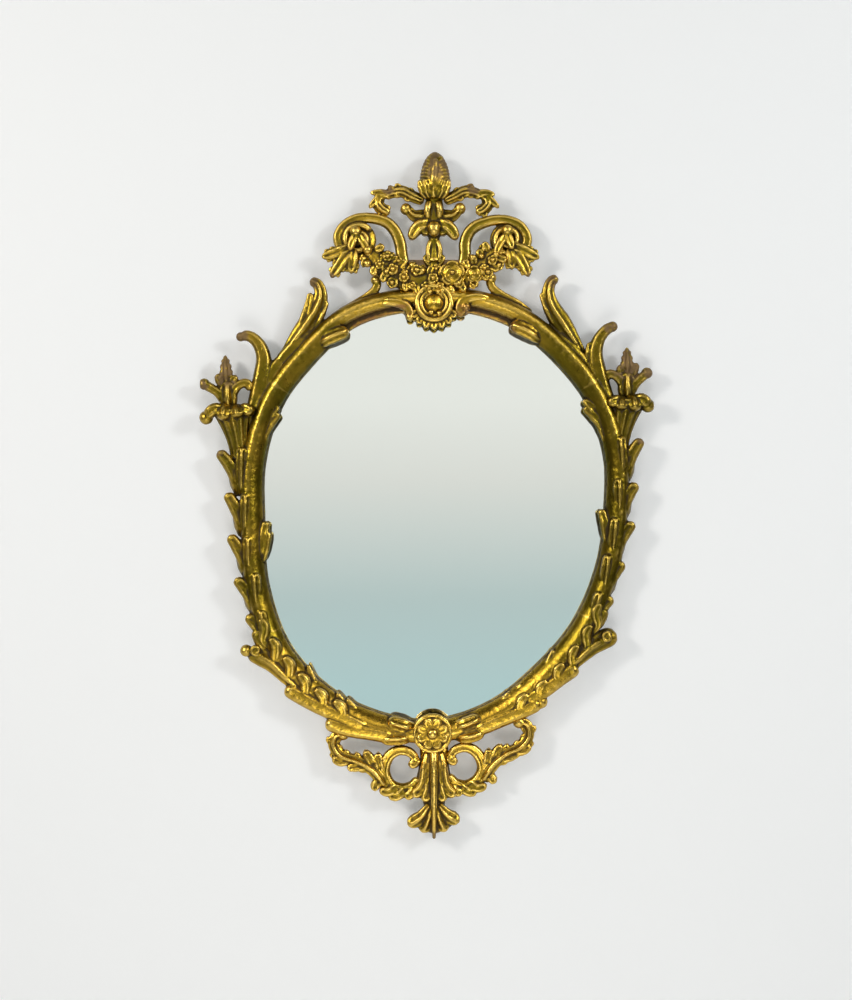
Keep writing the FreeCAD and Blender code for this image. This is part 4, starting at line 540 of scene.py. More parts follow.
# Light of the room by the height of the ray's direction: what the glass shows from foot to top
ROOM_LIGHT = [
    (0.0, (0.62, 0.70, 0.71, 1.0)), (0.40, (0.47, 0.60, 0.62, 1.0)), (0.4376, (0.49, 0.63, 0.65, 1.0)),
    (0.467, (0.52, 0.60, 0.605, 1.0)), (0.5066, (0.80, 0.765, 0.74, 1.0)),
    (0.533, (0.91, 0.87, 0.845, 1.0)), (1.0, (0.80, 0.80, 0.80, 1.0)),
]
# What the gold reflects: a dim room, a window ahead and one on each side
DIM_ROOM = (0.12, 0.12, 0.11, 1.0)
SIDE_WINDOW = (3.2, 3.1, 2.95, 1.0)
SIDE_WINDOW_PLACE = (0.64, -0.62, 0.45)
# Middle of the picture, its height, and the depth at which one pixel is one millimetre
PICTURE_MIDDLE = (426, 500)
SENSOR_HEIGHT = 36.0
FOCUS_DEPTH = 0.02


class CarvingSettings(bpy.types.PropertyGroup):
    """Sizes that all the carved pieces share."""

    voxel: bpy.props.FloatProperty(
        name="Grain", description="Size of the smallest carved form", default=0.0007, unit="LENGTH")
    rail_voxel: bpy.props.FloatProperty(
        name="Rail grain", description="Size of the smallest form on the rails", default=0.0008,
        unit="LENGTH")
    easing: bpy.props.IntProperty(
        name="Easing", description="Rounds of smoothing that the gesso and gold leaf give", default=2)
    unevenness: bpy.props.FloatProperty(
        name="Unevenness", description="Height of the lumps that the chisel and the gesso leave",
        default=0.0004, unit="LENGTH")
    inset: bpy.props.FloatProperty(
        name="Inset", description="Least distance inside the bounding box of the solids", default=0.0001,
        unit="LENGTH")


class GildingSettings(bpy.types.PropertyGroup):
    """Colours and sheen of the gilding."""

    green_gold: bpy.props.FloatVectorProperty(
        name="Green gold", description="Old gold in the shade", subtype="COLOR", size=4,
        default=(0.17, 0.125, 0.009, 1.0))
    warm_gold: bpy.props.FloatVectorProperty(
        name="Warm gold", description="Gold where the leaf is fresh", subtype="COLOR", size=4,
        default=(0.35, 0.22, 0.022, 1.0))
    # Rubbed gold: partly real polish on the ridges, partly a painted highlight on them
    rubbed_and_highlight_gold: bpy.props.FloatVectorProperty(
        name="Rubbed gold", description="Gold on ridges that are polished by dusting", subtype="COLOR",
        size=4, default=(0.74, 0.50, 0.11, 1.0))
    # Grime colour: partly real dirt, partly painted shade in the hollows and creases
    grime_and_shade: bpy.props.FloatVectorProperty(
        name="Grime", description="Dirt that fills the hollows", subtype="COLOR", size=4,
        default=(0.03, 0.018, 0.005, 1.0))
    bole: bpy.props.FloatVectorProperty(
        name="Bole", description="Red clay under the gold, which shows in the cove", subtype="COLOR", size=4,
        default=(0.24, 0.10, 0.036, 1.0))
    # Painted light: brighter gold at the foot and round the crown by the cartouche
    painted_light_gold: bpy.props.FloatVectorProperty(
        name="Fresh gold", description="Brighter gold towards the foot", subtype="COLOR", size=4,
        default=(0.62, 0.37, 0.04, 1.0))
    # Painted shade: darker gold down the two sides, more on the right than the left
    side_shade_gold: bpy.props.FloatVectorProperty(
        name="Aged gold", description="Duller gold down the two sides", subtype="COLOR", size=4,
        default=(0.115, 0.085, 0.006, 1.0))
    worn: bpy.props.FloatVectorProperty(
        name="Worn", description="Brown ground where the gold has gone", subtype="COLOR", size=4,
        default=(0.17, 0.105, 0.05, 1.0))
    roughness: bpy.props.FloatProperty(
        name="Roughness", description="Roughness of sound gilding", default=0.31, subtype="FACTOR")


class StageSettings(bpy.types.PropertyGroup):
    """Camera and lamps."""

    camera_distance: bpy.props.FloatProperty(
        name="Camera distance", description="Distance from the camera to the carving", default=1.5,
        unit="LENGTH")
    camera_level: bpy.props.FloatProperty(
        name="Camera level", description="Height of the camera against the hanging ring", default=-0.2035,
        unit="LENGTH")
    lamp_power: bpy.props.FloatProperty(
        name="Lamp power", description="Power of each side lamp", default=9.5, unit="POWER")
    fill: bpy.props.FloatProperty(
        name="Fill", description="Strength of the even light of the room", default=0.16)


def wall_place(pixel):
    """Picture place in millimetres on the wall: across and up."""
    return np.array([pixel[0] - CENTRE_PIXEL, LEVEL_PIXEL - pixel[1]])


def smooth_line(places, step=1.5, closed=False):
    """Places at even steps along a smooth curve through the given ones."""
    knots = np.array(places, dtype=float)
    if closed:
        knots = np.vstack([knots[-1:], knots, knots[:2]])
    else:
        knots = np.vstack([2 * knots[0] - knots[1], knots, 2 * knots[-1] - knots[-2]])
    share = np.linspace(0, 1, 16, endpoint=False)[:, None]
    spans = []
    for before, start, end, after in zip(knots, knots[1:], knots[2:], knots[3:]):
        spans.append(0.5 * (2 * start + (end - before) * share
                            + (2 * before - 5 * start + 4 * end - after) * share ** 2
                            + (3 * start - before - 3 * end + after) * share ** 3))
    line = np.vstack(spans + [knots[-2:-1]])
    reach = np.concatenate([[0], np.cumsum(np.linalg.norm(np.diff(line, axis=0), axis=1))])
    stops = np.linspace(0, reach[-1], max(8, int(reach[-1] / step)))
    return np.column_stack([np.interp(stops, reach, line[:, axis]) for axis in range(line.shape[1])])


def spread(shares, count):
    """Evenly spaced shares drawn out to a number of values."""
    return np.interp(np.linspace(0, 1, count), np.linspace(0, 1, len(shares)), shares)


class Carving:
    """Closed shapes that are gathered and blended into one carved piece."""

    def __init__(self):
        self.points = []
        self.faces = []
        self.count = 0

    def add_mesh(self, points, faces):
        """Add a closed mesh given as across, depth and up."""
        self.points.append(np.asarray(points, dtype=float))
        self.faces += [tuple(self.count + index for index in face) for face in faces]
        self.count += len(points)

    def add_rings(self, rings, closed=False):
        """Join rings of points into a skin, with its ends capped or joined."""
        rows, around = rings.shape[:2]
        faces = []
        for row in range(rows if closed else rows - 1):
            first = row * around
            second = (row + 1) % rows * around
            for column in range(around):
                following = (column + 1) % around
                faces.append((first + column, first + following, second + following, second + column))
        if not closed:
            faces.append(tuple(reversed(range(around))))
            faces.append(tuple(range((rows - 1) * around, rows * around)))
        self.add_mesh(rings.reshape(-1, 3), faces)

    def add_limb(self, form, places):
        """Add a limb with a flat back, a rounded front, grooves along it and side lobes."""
        line = smooth_line(places)
        count = len(line)
        tangent = np.gradient(line, axis=0)
        tangent /= np.linalg.norm(tangent, axis=1)[:, None]
        across = np.column_stack([tangent[:, 1], -tangent[:, 0]])
        length = np.concatenate([[0], np.cumsum(np.linalg.norm(np.diff(line, axis=0), axis=1))])
        half = form["width"] / 2 * spread(form["taper"], count)
        from_root = np.clip(length / ROOT_ROUNDING, 0, 1)
        from_tip = np.clip((length[-1] - length) / max(half[-1], 2.0), 0, 1)
        rounding = np.sqrt(1 - (1 - np.minimum(from_root, from_tip)) ** 2)
        half = half * (END_WIDTH + (1 - END_WIDTH) * rounding)
        height = (form["front"] - form["back"]) * spread(form.get("rise", PLAIN_RISE), count)
        sunk = 1 - form.get("sink", PLAIN_SINK) * (1 - np.clip(length / SINK_LENGTH, 0, 1)) ** 2
        front = form["back"] + height * (END_HEIGHT + (1 - END_HEIGHT) * rounding) * sunk
        rear = form["back"] + height * BACK_LIFT * (length / length[-1]) ** 2
        shoulder = front - np.minimum(half * SHOULDER_WIDTH, height * SHOULDER_HEIGHT)
        shoulder = np.maximum(shoulder, rear + height * BACK_EDGE)
        turn = np.linspace(-math.pi / 2, math.pi / 2, 21)
        side = np.sin(turn)
        depth = shoulder[:, None] + (front - shoulder)[:, None] * np.cos(turn)[None, :]
        grooves = form.get("grooves", 0)
        if grooves:
            valley = (0.5 - 0.5 * np.cos(math.pi * grooves * (side + 1))) ** GROOVE_SHARPNESS
            bite = np.minimum(form["cut"], half * GROOVE_LIMIT) * np.clip(from_tip * 1.6 - 0.6, 0, 1)
            depth = depth - bite[:, None] * (valley * np.cos(turn) ** 0.5)[None, :]
        offset = half[:, None] * side[None, :]
        rings = np.empty((count, len(turn) + 2, 3))
        rings[:, :-2, 0] = line[:, 0, None] + across[:, 0, None] * offset
        rings[:, :-2, 1] = depth
        rings[:, :-2, 2] = line[:, 1, None] + across[:, 1, None] * offset
        for slot, sign in ((-2, 1), (-1, -1)):
            rings[:, slot, 0] = line[:, 0] + across[:, 0] * half * sign * BACK_WIDTH
            rings[:, slot, 1] = rear
            rings[:, slot, 2] = line[:, 1] + across[:, 1] * half * sign * BACK_WIDTH
        self.add_rings(rings)
        for number in range(form.get("pairs", 0)):
            index = int((LOBE_START + LOBE_SPAN * number / form["pairs"]) * count)
            for sign in (-1, 1):
                away = tangent[index] * math.cos(LOBE_ANGLE) + across[index] * sign * math.sin(LOBE_ANGLE)
                reach = half[index] * form["lobe"]
                middle = line[index] + away * reach * 0.55 - tangent[index] * reach * 0.08
                lobe = dict(width=reach * 0.85, back=rear[index], front=front[index] - 1.0,
                            taper=(1, 1, 0.85, 0.4), grooves=1, cut=reach * 0.2)
                self.add_limb(lobe, [line[index], middle, line[index] + away * reach])

    def add_limbs(self, table):
        """Add all the limbs of a table of kinds and picture places."""
        for kind, pixels in table:
            self.add_limb(KINDS[kind], [wall_place(pixel) for pixel in pixels])

    def add_bead(self, pixel, depth, radius, rise=None):
        """Add a ball, or a cushion where its rise differs from its radius."""
        middle = wall_place(pixel)
        turn = np.linspace(0.05, math.pi - 0.05, 12)
        round_turn = np.linspace(0, 2 * math.pi, 20, endpoint=False)
        rings = np.empty((len(turn), len(round_turn), 3))
        rings[:, :, 0] = middle[0] + radius * np.sin(turn)[:, None] * np.cos(round_turn)[None, :]
        rings[:, :, 1] = depth - (rise or radius) * np.cos(turn)[:, None]
        rings[:, :, 2] = middle[1] + radius * np.sin(turn)[:, None] * np.sin(round_turn)[None, :]
        self.add_rings(rings)

    def add_hoop(self, pixel, depth, radius, wire):
        """Add a ring that lies flat against the wall."""
        middle = wall_place(pixel)
        turn = np.linspace(0, 2 * math.pi, 48, endpoint=False)
        round_turn = np.linspace(0, 2 * math.pi, 14, endpoint=False)
        reach = radius + wire * np.cos(round_turn)
        rings = np.empty((len(turn), len(round_turn), 3))
        rings[:, :, 0] = middle[0] + np.cos(turn)[:, None] * reach[None, :]
        rings[:, :, 1] = depth + wire * np.sin(round_turn)[None, :]
        rings[:, :, 2] = middle[1] + np.sin(turn)[:, None] * reach[None, :]
        self.add_rings(rings, closed=True)

    def add_turned(self, levels, depth, ribs=0, rib_depth=0.0, back=0.0, flat=1.0, ridge_pitch=None,
                   ridge_depth=0.0):
        """Add an upright turned form from half widths at levels, with ribs along it or ridges across it."""
        rows = smooth_line([(*wall_place(pixel), half) for pixel, half in levels], step=1.0)
        turn = np.linspace(0, 2 * math.pi, 48, endpoint=False)
        wave = 1 + rib_depth * np.cos(ribs * turn)
        rings = np.empty((len(rows), len(turn), 3))
        reach = np.maximum(rows[:, 2], 0.4)[:, None] * wave[None, :]
        if ridge_pitch:
            flank = np.clip(np.abs(np.cos(turn)) * FLANK_SHARPNESS - FLANK_START, 0, 1)
            slant = rows[:, 1, None] - RIDGE_SLANT * np.abs(np.cos(turn))[None, :]
            reach = reach * (1 + ridge_depth * np.cos(2 * math.pi * slant / ridge_pitch) * flank[None, :])
        rings[:, :, 0] = rows[:, 0, None] + reach * np.cos(turn)[None, :]
        rings[:, :, 1] = np.maximum(depth + flat * reach * np.sin(turn)[None, :], back)
        rings[:, :, 2] = rows[:, 1, None]
        self.add_rings(rings)

    def to_mesh(self, name):
        """Blender mesh of all the shapes, in metres."""
        points = np.vstack(self.points) * MILLIMETRE
        points[:, 1] *= -1
        mesh = bpy.data.meshes.new(name)
        mesh.from_pydata(points.tolist(), [], self.faces)
        return mesh


def new_object(name, mesh):
    """Object with a mesh, linked into the scene."""
    made = bpy.data.objects.new(name, mesh)
    bpy.context.scene.collection.objects.link(made)
    return made


def settle(made):
    """Turn an object with modifiers into a plain mesh."""
    made.update_tag()
    graph = bpy.context.evaluated_depsgraph_get()
    mesh = bpy.data.meshes.new_from_object(made.evaluated_get(graph))
    made.modifiers.clear()
    old = made.data
    made.data = mesh
    bpy.data.meshes.remove(old)
    mesh.name = made.name
    return mesh


def neighbour_means(values, pairs, degree):
    """Mean of each point's neighbours."""
    total = np.bincount(pairs[:, 0], values[pairs[:, 1]], len(degree))
    total += np.bincount(pairs[:, 1], values[pairs[:, 0]], len(degree))
    return total / degree


def mesh_points(mesh):
    """Places of a mesh's points as rows."""
    points = np.empty(len(mesh.vertices) * 3)
    mesh.vertices.foreach_get("co", points)
    return points.reshape(-1, 3)


def mark(mesh, name, values):
    """Store one value for each point of a mesh."""
    layer = mesh.attributes.new(name, "FLOAT", "POINT")
    layer.data.foreach_set("value", np.asarray(values, dtype=np.float32))


def recess(points):
    """How many millimetres each point lies behind the mean front of the carving round it."""
    flat = points[:, (0, 2)] / MILLIMETRE
    cells = np.floor(flat - flat.min(0)).astype(int) + 1
    front = np.zeros(cells.max(0) + 2)
    depth = -points[:, 1] / MILLIMETRE
    np.maximum.at(front, tuple(cells.T), depth)
    filled = (front > 0).astype(float)
    weight = filled
    for _ in range(RECESS_ROUNDS):
        for axis in (0, 1):
            front = front + np.roll(front, 1, axis) + np.roll(front, -1, axis)
            weight = weight + np.roll(weight, 1, axis) + np.roll(weight, -1, axis)
    mean = front / np.maximum(weight, 1e-9)
    return np.clip(mean[tuple(cells.T)] - depth, -RECESS_LIMIT, RECESS_LIMIT)


def mark_hollows(mesh):
    """Store how far each point lies in a hollow: one half is flat, more is hollow, less is a ridge."""
    points = mesh_points(mesh)
    normals = np.empty(len(points) * 3)
    mesh.vertex_normals.foreach_get("vector", normals)
    normals = normals.reshape(-1, 3)
    pairs = np.empty(len(mesh.edges) * 2, dtype=np.int64)
    mesh.edges.foreach_get("vertices", pairs)
    pairs = pairs.reshape(-1, 2)
    degree = np.maximum(np.bincount(pairs.ravel(), minlength=len(points)), 1)
    reach = points[pairs[:, 1]] - points[pairs[:, 0]]
    reach /= np.maximum(np.linalg.norm(reach, axis=1), 1e-9)[:, None]
    bend = np.bincount(pairs[:, 0], (normals[pairs[:, 0]] * reach).sum(1), len(points))
    bend -= np.bincount(pairs[:, 1], (normals[pairs[:, 1]] * reach).sum(1), len(points))
    bend /= degree
    fine = bend
    for _ in range(FINE_ROUNDS):
        fine = (fine + neighbour_means(fine, pairs, degree)) / 2
    broad = fine
    for _ in range(BROAD_ROUNDS):
        broad = (broad + neighbour_means(broad, pairs, degree)) / 2
    hollow = 0.5 + FINE_WEIGHT * fine + BROAD_WEIGHT * broad + RECESS_WEIGHT * recess(points)
    mark(mesh, "hollow", np.clip(hollow, 0, 1))


def mark_wear(mesh, red_cove):
    """Store where the gold is worn and, on a red cove, where the bole shows."""
    points = mesh_points(mesh)[:, (0, 2)] / MILLIMETRE
    worn = np.zeros(len(points))
    for pixel, radius in WORN_PIXELS:
        distance = np.linalg.norm(points - wall_place(pixel), axis=1)
        worn = np.maximum(worn, np.clip(WEAR_REACH - distance / radius, 0, 1))
    mark(mesh, "worn", worn)
    edge = smooth_line([wall_place(pixel) for pixel in SIGHT_PIXELS], step=4.0, closed=True)
    nearest = np.full(len(points), RAIL_WIDTH)
    for place in edge:
        nearest = np.minimum(nearest, np.linalg.norm(points - place, axis=1))
    red = red_cove * np.clip(COVE_REACH - np.abs(points[:, 0]), 0, 1)
    mark(mesh, "bole", red * np.clip((COVE_WIDTH + BOLE_LAP - nearest) / BOLE_FADE, 0, 1))


def uneven_texture():
    """Lumps that the chisel and the gesso leave."""
    found = bpy.data.textures.get("Uneven")
    if found is None:
        found = bpy.data.textures.new("Uneven", "CLOUDS")
        found.noise_scale = LUMP_SIZE
        found.noise_depth = 2
    return found


def finish_carving(carving, node, voxel, red_cove=False):
    """Blend a carving into one skin and put it in place of its node."""
    carving_settings = bpy.context.scene.mirror_carving
    name = f"carved_{node}"
    made = new_object(name, carving.to_mesh(name))
    blend = made.modifiers.new("Blend", "REMESH")
    blend.mode = "VOXEL"
    blend.voxel_size = voxel
    ease = made.modifiers.new("Ease", "SMOOTH")
    ease.factor = 0.5
    ease.iterations = carving_settings.easing
    uneven = made.modifiers.new("Uneven", "DISPLACE")
    uneven.texture = uneven_texture()
    uneven.texture_coords = "LOCAL"
    uneven.strength = carving_settings.unevenness
    mesh = settle(made)
    points = mesh_points(mesh)
    low = np.array(CAD_LOW) + carving_settings.inset
    high = np.array(CAD_HIGH) - carving_settings.inset
    mesh.vertices.foreach_set("co", np.clip(points, low, high).ravel())
    mesh.update()
    mesh.polygons.foreach_set("use_smooth", np.ones(len(mesh.polygons), dtype=bool))
    mark_hollows(mesh)
    mark_wear(mesh, red_cove)
    mesh.materials.clear()
    mesh.materials.append(material("gilding", paint_gilding))
    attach(made, "frame")
    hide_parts(node)


def carve_limbs(node, limbs, voxel, knobs=()):
    """Carve a piece from a table of limbs, with knobs given as place, depth and radius."""
    carving = Carving()
    carving.add_limbs(limbs)
    for knob in knobs:
        carving.add_bead(*knob)
    finish_carving(carving, node, voxel)


class Wire:
    """Output of a node that can be used in sums and products."""

    def __init__(self, graph, socket):
        self.graph = graph
        self.socket = socket

    def maths(self, operation, first, second=0.0):
        """Node that works out one sum."""
        return self.graph.add("ShaderNodeMath", {"operation": operation}, {0: first, 1: second})

    def __add__(self, other):
        return self.maths("ADD", self, other)

    def __radd__(self, other):
        return self.maths("ADD", other, self)

    def __sub__(self, other):
        return self.maths("SUBTRACT", self, other)

    def __rsub__(self, other):
        return self.maths("SUBTRACT", other, self)

    def __mul__(self, other):
        return self.maths("MULTIPLY", self, other)

    def __rmul__(self, other):
        return self.maths("MULTIPLY", other, self)

    def __truediv__(self, other):
        return self.maths("DIVIDE", self, other)

    def __rtruediv__(self, other):
        return self.maths("DIVIDE", other, self)

    def __pow__(self, other):
        return self.maths("POWER", self, other)

    def between(self, low, high):
        """Rise smoothly from 0 at one value to 1 at another."""
        return self.graph.add("ShaderNodeMapRange", {"interpolation_type": "SMOOTHSTEP"},
                              {"Value": self, "From Min": low, "From Max": high})

    def blend(self, first, second):
        """Colour between two colours, at this share."""
        return self.graph.add("ShaderNodeMix", {"data_type": "RGBA"}, {0: self, 6: first, 7: second}, 2)


class Graph:
    """Node tree with one method that adds any node."""

    def __init__(self, tree):
        self.tree = tree

    def add(self, kind, settings=None, inputs=None, output=0):
        """Add a node, set its settings and then its sockets, and return one of its outputs."""
        node = self.tree.nodes.new(kind)
        for name, value in (settings or {}).items():
            setattr(node, name, value)
        for name, value in (inputs or {}).items():
            self.feed(node.inputs[name], value)
        return Wire(self, node.outputs[output]) if len(node.outputs) else node

    def feed(self, socket, value):
        """Link a wire to a socket, or set a plain value on it."""
        if isinstance(value, Wire):
            self.tree.links.new(value.socket, socket)
        else:
            socket.default_value = value

    def noise(self, place, scale, detail=3.0, roughness=0.55):
        """Cloudy value from 0 to 1."""
        return self.add("ShaderNodeTexNoise", None, {"Vector": place, "Scale": scale, "Detail": detail,
                                                     "Roughness": roughness})

    def object_place(self):
        """Place on the object."""
        return self.add("ShaderNodeTexCoord", None, None, "Object")

    def mark(self, name):
        """Value stored on the mesh."""
        return self.add("ShaderNodeAttribute", {"attribute_name": name}, None, "Fac")

    def bump(self, height, strength, distance):
        """Normal tilted by a height."""
        return self.add("ShaderNodeBump", None,
                        {"Height": height, "Strength": strength, "Distance": distance})

    def surface(self, inputs):
        """Principled surface joined to the output."""
        shader = self.add("ShaderNodeBsdfPrincipled", None, inputs)
        self.add("ShaderNodeOutputMaterial", None, {"Surface": shader})
        return shader


def material(name, paint):
    """Material of that name, painted once."""
    found = bpy.data.materials.get(name)
    if found is None:
        found = bpy.data.materials.new(name)
        found.use_nodes = True
        found.node_tree.nodes.clear()
        paint(Graph(found.node_tree))
    return found


def paint_gilding(graph):
    """Old water gilding: greenish gold, red bole and worn brown tips, with painted highlights on the rubbed
    ridges, painted shade with the grime in the hollows and down the two sides, and painted light at the foot
    and the crown.
    """
    gilding = bpy.context.scene.mirror_gilding
    place = graph.object_place()
    hollow = graph.mark("hollow")
    clouds = graph.noise(place, 28.0, 4.0)
    patches = graph.noise(place, 120.0, 5.0, 0.65)
    grain = graph.noise(place, 900.0, 3.0)
    chips = graph.noise(place, 260.0, 2.0)
    height = graph.add("ShaderNodeSeparateXYZ", None, {"Vector": place}, "Z")
    across = graph.add("ShaderNodeSeparateXYZ", None, {"Vector": place}, "X")
    gold = clouds.between(0.38, 0.64).blend(tuple(gilding.green_gold), tuple(gilding.warm_gold))
    # The share called fresh is painted light: the gold is brightened towards the foot by height
    depth = 0.0 - height + (patches - 0.5) * 0.12
    fresh = depth.between(0.32, 0.43) - depth.between(0.44, 0.51) * 0.8
    gold = (fresh * 0.7).blend(gold, tuple(gilding.painted_light_gold))
    # Painted shade: the two sides are darkened, the right more than the left
    reach = across.maths("ABSOLUTE", across)
    sides = reach.between(0.075, 0.15) * (1 - fresh)
    gold = (sides * (0.3 + across.between(-0.1, 0.1) * 0.45)).blend(gold, tuple(gilding.side_shade_gold))
    # Painted light: the crown round the cartouche is brightened with the same colour
    level = height + 0.025
    crown = (1 - reach.between(0.06, 0.11)) * (1 - level.maths("ABSOLUTE", level).between(0.015, 0.04))
    gold = (crown * 0.55).blend(gold, tuple(gilding.painted_light_gold))
    # Ridges get the rubbed gold: partly real polish, partly a painted highlight
    ridge = (0.43 - hollow + (patches - 0.5) * 0.12).between(0.0, 0.15)
    gold = (ridge * (0.75 - sides * 0.4)).blend(gold, tuple(gilding.rubbed_and_highlight_gold))
    bole = graph.mark("bole") * patches.between(0.3, 0.6)
    gold = (bole * 0.8).blend(gold, tuple(gilding.bole))
    # Hollows and creases get the dark grime colour: partly real dirt, partly painted shade
    dirt_and_shade = (hollow + (patches - 0.5) * 0.16).between(0.53, 0.76)
    specks = grain.between(0.66, 0.74) * patches.between(0.45, 0.65)
    soiled = (dirt_and_shade * 0.9).blend(gold, tuple(gilding.grime_and_shade))
    soiled = (specks * 0.55).blend(soiled, tuple(gilding.grime_and_shade))
    wear = (graph.mark("worn") * patches.between(0.3, 0.58)).between(0.25, 0.75)
    colour = (wear * 0.85).blend(soiled, tuple(gilding.worn))
    dull = wear.maths("MAXIMUM", wear * 0.8, dirt_and_shade)
    rough = gilding.roughness + dull * 0.28 + (patches - 0.5) * 0.22 - fresh * 0.06
    graph.surface({
        "Base Color": colour,
        "Metallic": 1.0 - dull * 0.6 - bole * 0.3,
        "Specular IOR Level": 0.25,
        "Roughness": rough,
        "Normal": graph.bump(grain * 0.35 + patches + chips * 1.2, 0.35, 0.0006),
    })


def paint_glass(graph):
    """Clear old plate glass with a faint green cast."""
    wave = graph.noise(graph.object_place(), 7.0, 1.0)
    graph.surface({
        "Base Color": (0.955, 0.985, 0.97, 1.0),
        "Roughness": 0.0,
        "IOR": 1.5,
        "Transmission Weight": 1.0,
        "Normal": graph.bump(wave, 0.02, 0.0005),
    })


def paint_silvering(graph):
    """Silvering with a few dark specks."""
    place = graph.object_place()
    specks = graph.add("ShaderNodeTexVoronoi", {"feature": "F1"}, {"Vector": place, "Scale": 14.0},
                       "Distance")
    spots = graph.noise(place, 60.0, 2.0)
    spot = (1 - specks.between(0.015, 0.03)) * spots.between(0.5, 0.6)
    graph.surface({
        "Base Color": (spot * 0.7).blend((0.93, 0.95, 0.94, 1.0), (0.12, 0.11, 0.1, 1.0)),
        "Metallic": 1.0,
        "Roughness": 0.01 + spot * 0.4,
    })


def paint_wood(graph, light, dark, scale):
    """Bare wood with its grain across the wall."""
    place = graph.add("ShaderNodeMapping", None, {"Vector": graph.object_place(), "Scale": (1.0, 6.0, 9.0)})
    grain = graph.noise(place, scale, 6.0, 0.65)
    pores = graph.noise(place, scale * 9.0, 3.0)
    stain = graph.noise(graph.object_place(), 9.0, 3.0)
    tone = (grain * 0.7 + stain * 0.3).between(0.32, 0.66)
    graph.surface({
        "Base Color": tone.blend(dark, light),
        "Roughness": 0.62 + pores * 0.25,
        "Normal": graph.bump(pores, 0.3, 0.0004),
    })


def paint_bare_wood(graph):
    """Limewood of the braces and dowels."""
    paint_wood(graph, (0.50, 0.34, 0.18, 1.0), (0.30, 0.18, 0.085, 1.0), 26.0)


def paint_back_board(graph):
    """Darkened pine of the back board."""
    paint_wood(graph, (0.33, 0.20, 0.10, 1.0), (0.16, 0.09, 0.042, 1.0), 14.0)


def paint_metal(graph, light, dark, roughness):
    """Metal with tarnish and fine scratches."""
    place = graph.object_place()
    tarnish = graph.noise(place, 160.0, 5.0, 0.65)
    scratch = graph.noise(graph.add("ShaderNodeMapping", None, {"Vector": place, "Scale": (1.0, 1.0, 14.0)}),
                          500.0, 2.0)
    graph.surface({
        "Base Color": tarnish.between(0.4, 0.66).blend(light, dark),
        "Metallic": 0.95,
        "Roughness": roughness + tarnish * 0.2 + scratch * 0.1,
        "Normal": graph.bump(scratch, 0.15, 0.0002),
    })


def paint_steel(graph):
    """Dull steel of the screws."""
    paint_metal(graph, (0.46, 0.46, 0.45, 1.0), (0.22, 0.19, 0.16, 1.0), 0.3)


def paint_brass(graph):
    """Tarnished brass of the hanger and the turn buttons."""
    paint_metal(graph, (0.62, 0.45, 0.17, 1.0), (0.27, 0.17, 0.06, 1.0), 0.28)


def paint_felt(graph):
    """Green felt of the bumpers."""
    place = graph.object_place()
    fibre = graph.noise(place, 1400.0, 4.0, 0.7)
    graph.surface({
        "Base Color": fibre.between(0.3, 0.7).blend((0.045, 0.075, 0.04, 1.0), (0.09, 0.13, 0.075, 1.0)),
        "Roughness": 0.95,
        "Normal": graph.bump(fibre, 0.6, 0.0005),
    })


FITTING_PAINTS = {"steel": paint_steel, "brass": paint_brass, "felt": paint_felt,
                  "bare_wood": paint_bare_wood, "back_board": paint_back_board}


def node_tree(name, inputs):
    """Geometry tree with named inputs and one output."""
    tree = bpy.data.node_groups.new(name, "GeometryNodeTree")
    for label, kind in inputs:
        tree.interface.new_socket(label, in_out="INPUT", socket_type=kind)
    tree.interface.new_socket("Geometry", in_out="OUTPUT", socket_type="NodeSocketGeometry")
    return tree


def run_tree(tree, mesh, values):
    """Mesh that a geometry tree makes of a mesh, with its named inputs set."""
    made = new_object(tree.name, mesh)
    modifier = made.modifiers.new(tree.name, "NODES")
    modifier.node_group = tree
    for item in tree.interface.items_tree:
        if item.in_out == "INPUT" and item.name in values:
            modifier[item.identifier] = values[item.name]
    done = settle(made)
    points = mesh_points(done) / MILLIMETRE
    points[:, 1] *= -1
    faces = [tuple(polygon.vertices) for polygon in done.polygons]
    bpy.data.objects.remove(made)
    bpy.data.meshes.remove(done)
    return points, faces


def moulding_tree():
    """Tree that sweeps a section along a path, facing the wall."""
    found = bpy.data.node_groups.get("Moulding")
    if found:
        return found
    tree = node_tree("Moulding", [("Geometry", "NodeSocketGeometry"), ("Section", "NodeSocketObject"),
                                  ("Material", "NodeSocketMaterial")])
    graph = Graph(tree)
    entry = graph.add("NodeGroupInput")
    section = Wire(graph, entry.socket.node.outputs["Section"])
    paint = Wire(graph, entry.socket.node.outputs["Material"])
    path = graph.add("GeometryNodeMeshToCurve", None, {"Mesh": entry})
    path = graph.add("GeometryNodeSetCurveNormal", {"mode": "FREE"},
                     {"Curve": path, "Normal": (0.0, 1.0, 0.0)})
    shape = graph.add("GeometryNodeObjectInfo", None, {"Object": section}, "Geometry")
    outline = graph.add("GeometryNodeMeshToCurve", None, {"Mesh": shape})
    swept = graph.add("GeometryNodeCurveToMesh", None,
                      {"Curve": path, "Profile Curve": outline, "Fill Caps": True})
    solid = graph.add("GeometryNodeRealizeInstances", None, {"Geometry": swept})
    painted = graph.add("GeometryNodeSetMaterial", None, {"Geometry": solid, "Material": paint})
    graph.add("NodeGroupOutput", None, {0: painted})
    return tree


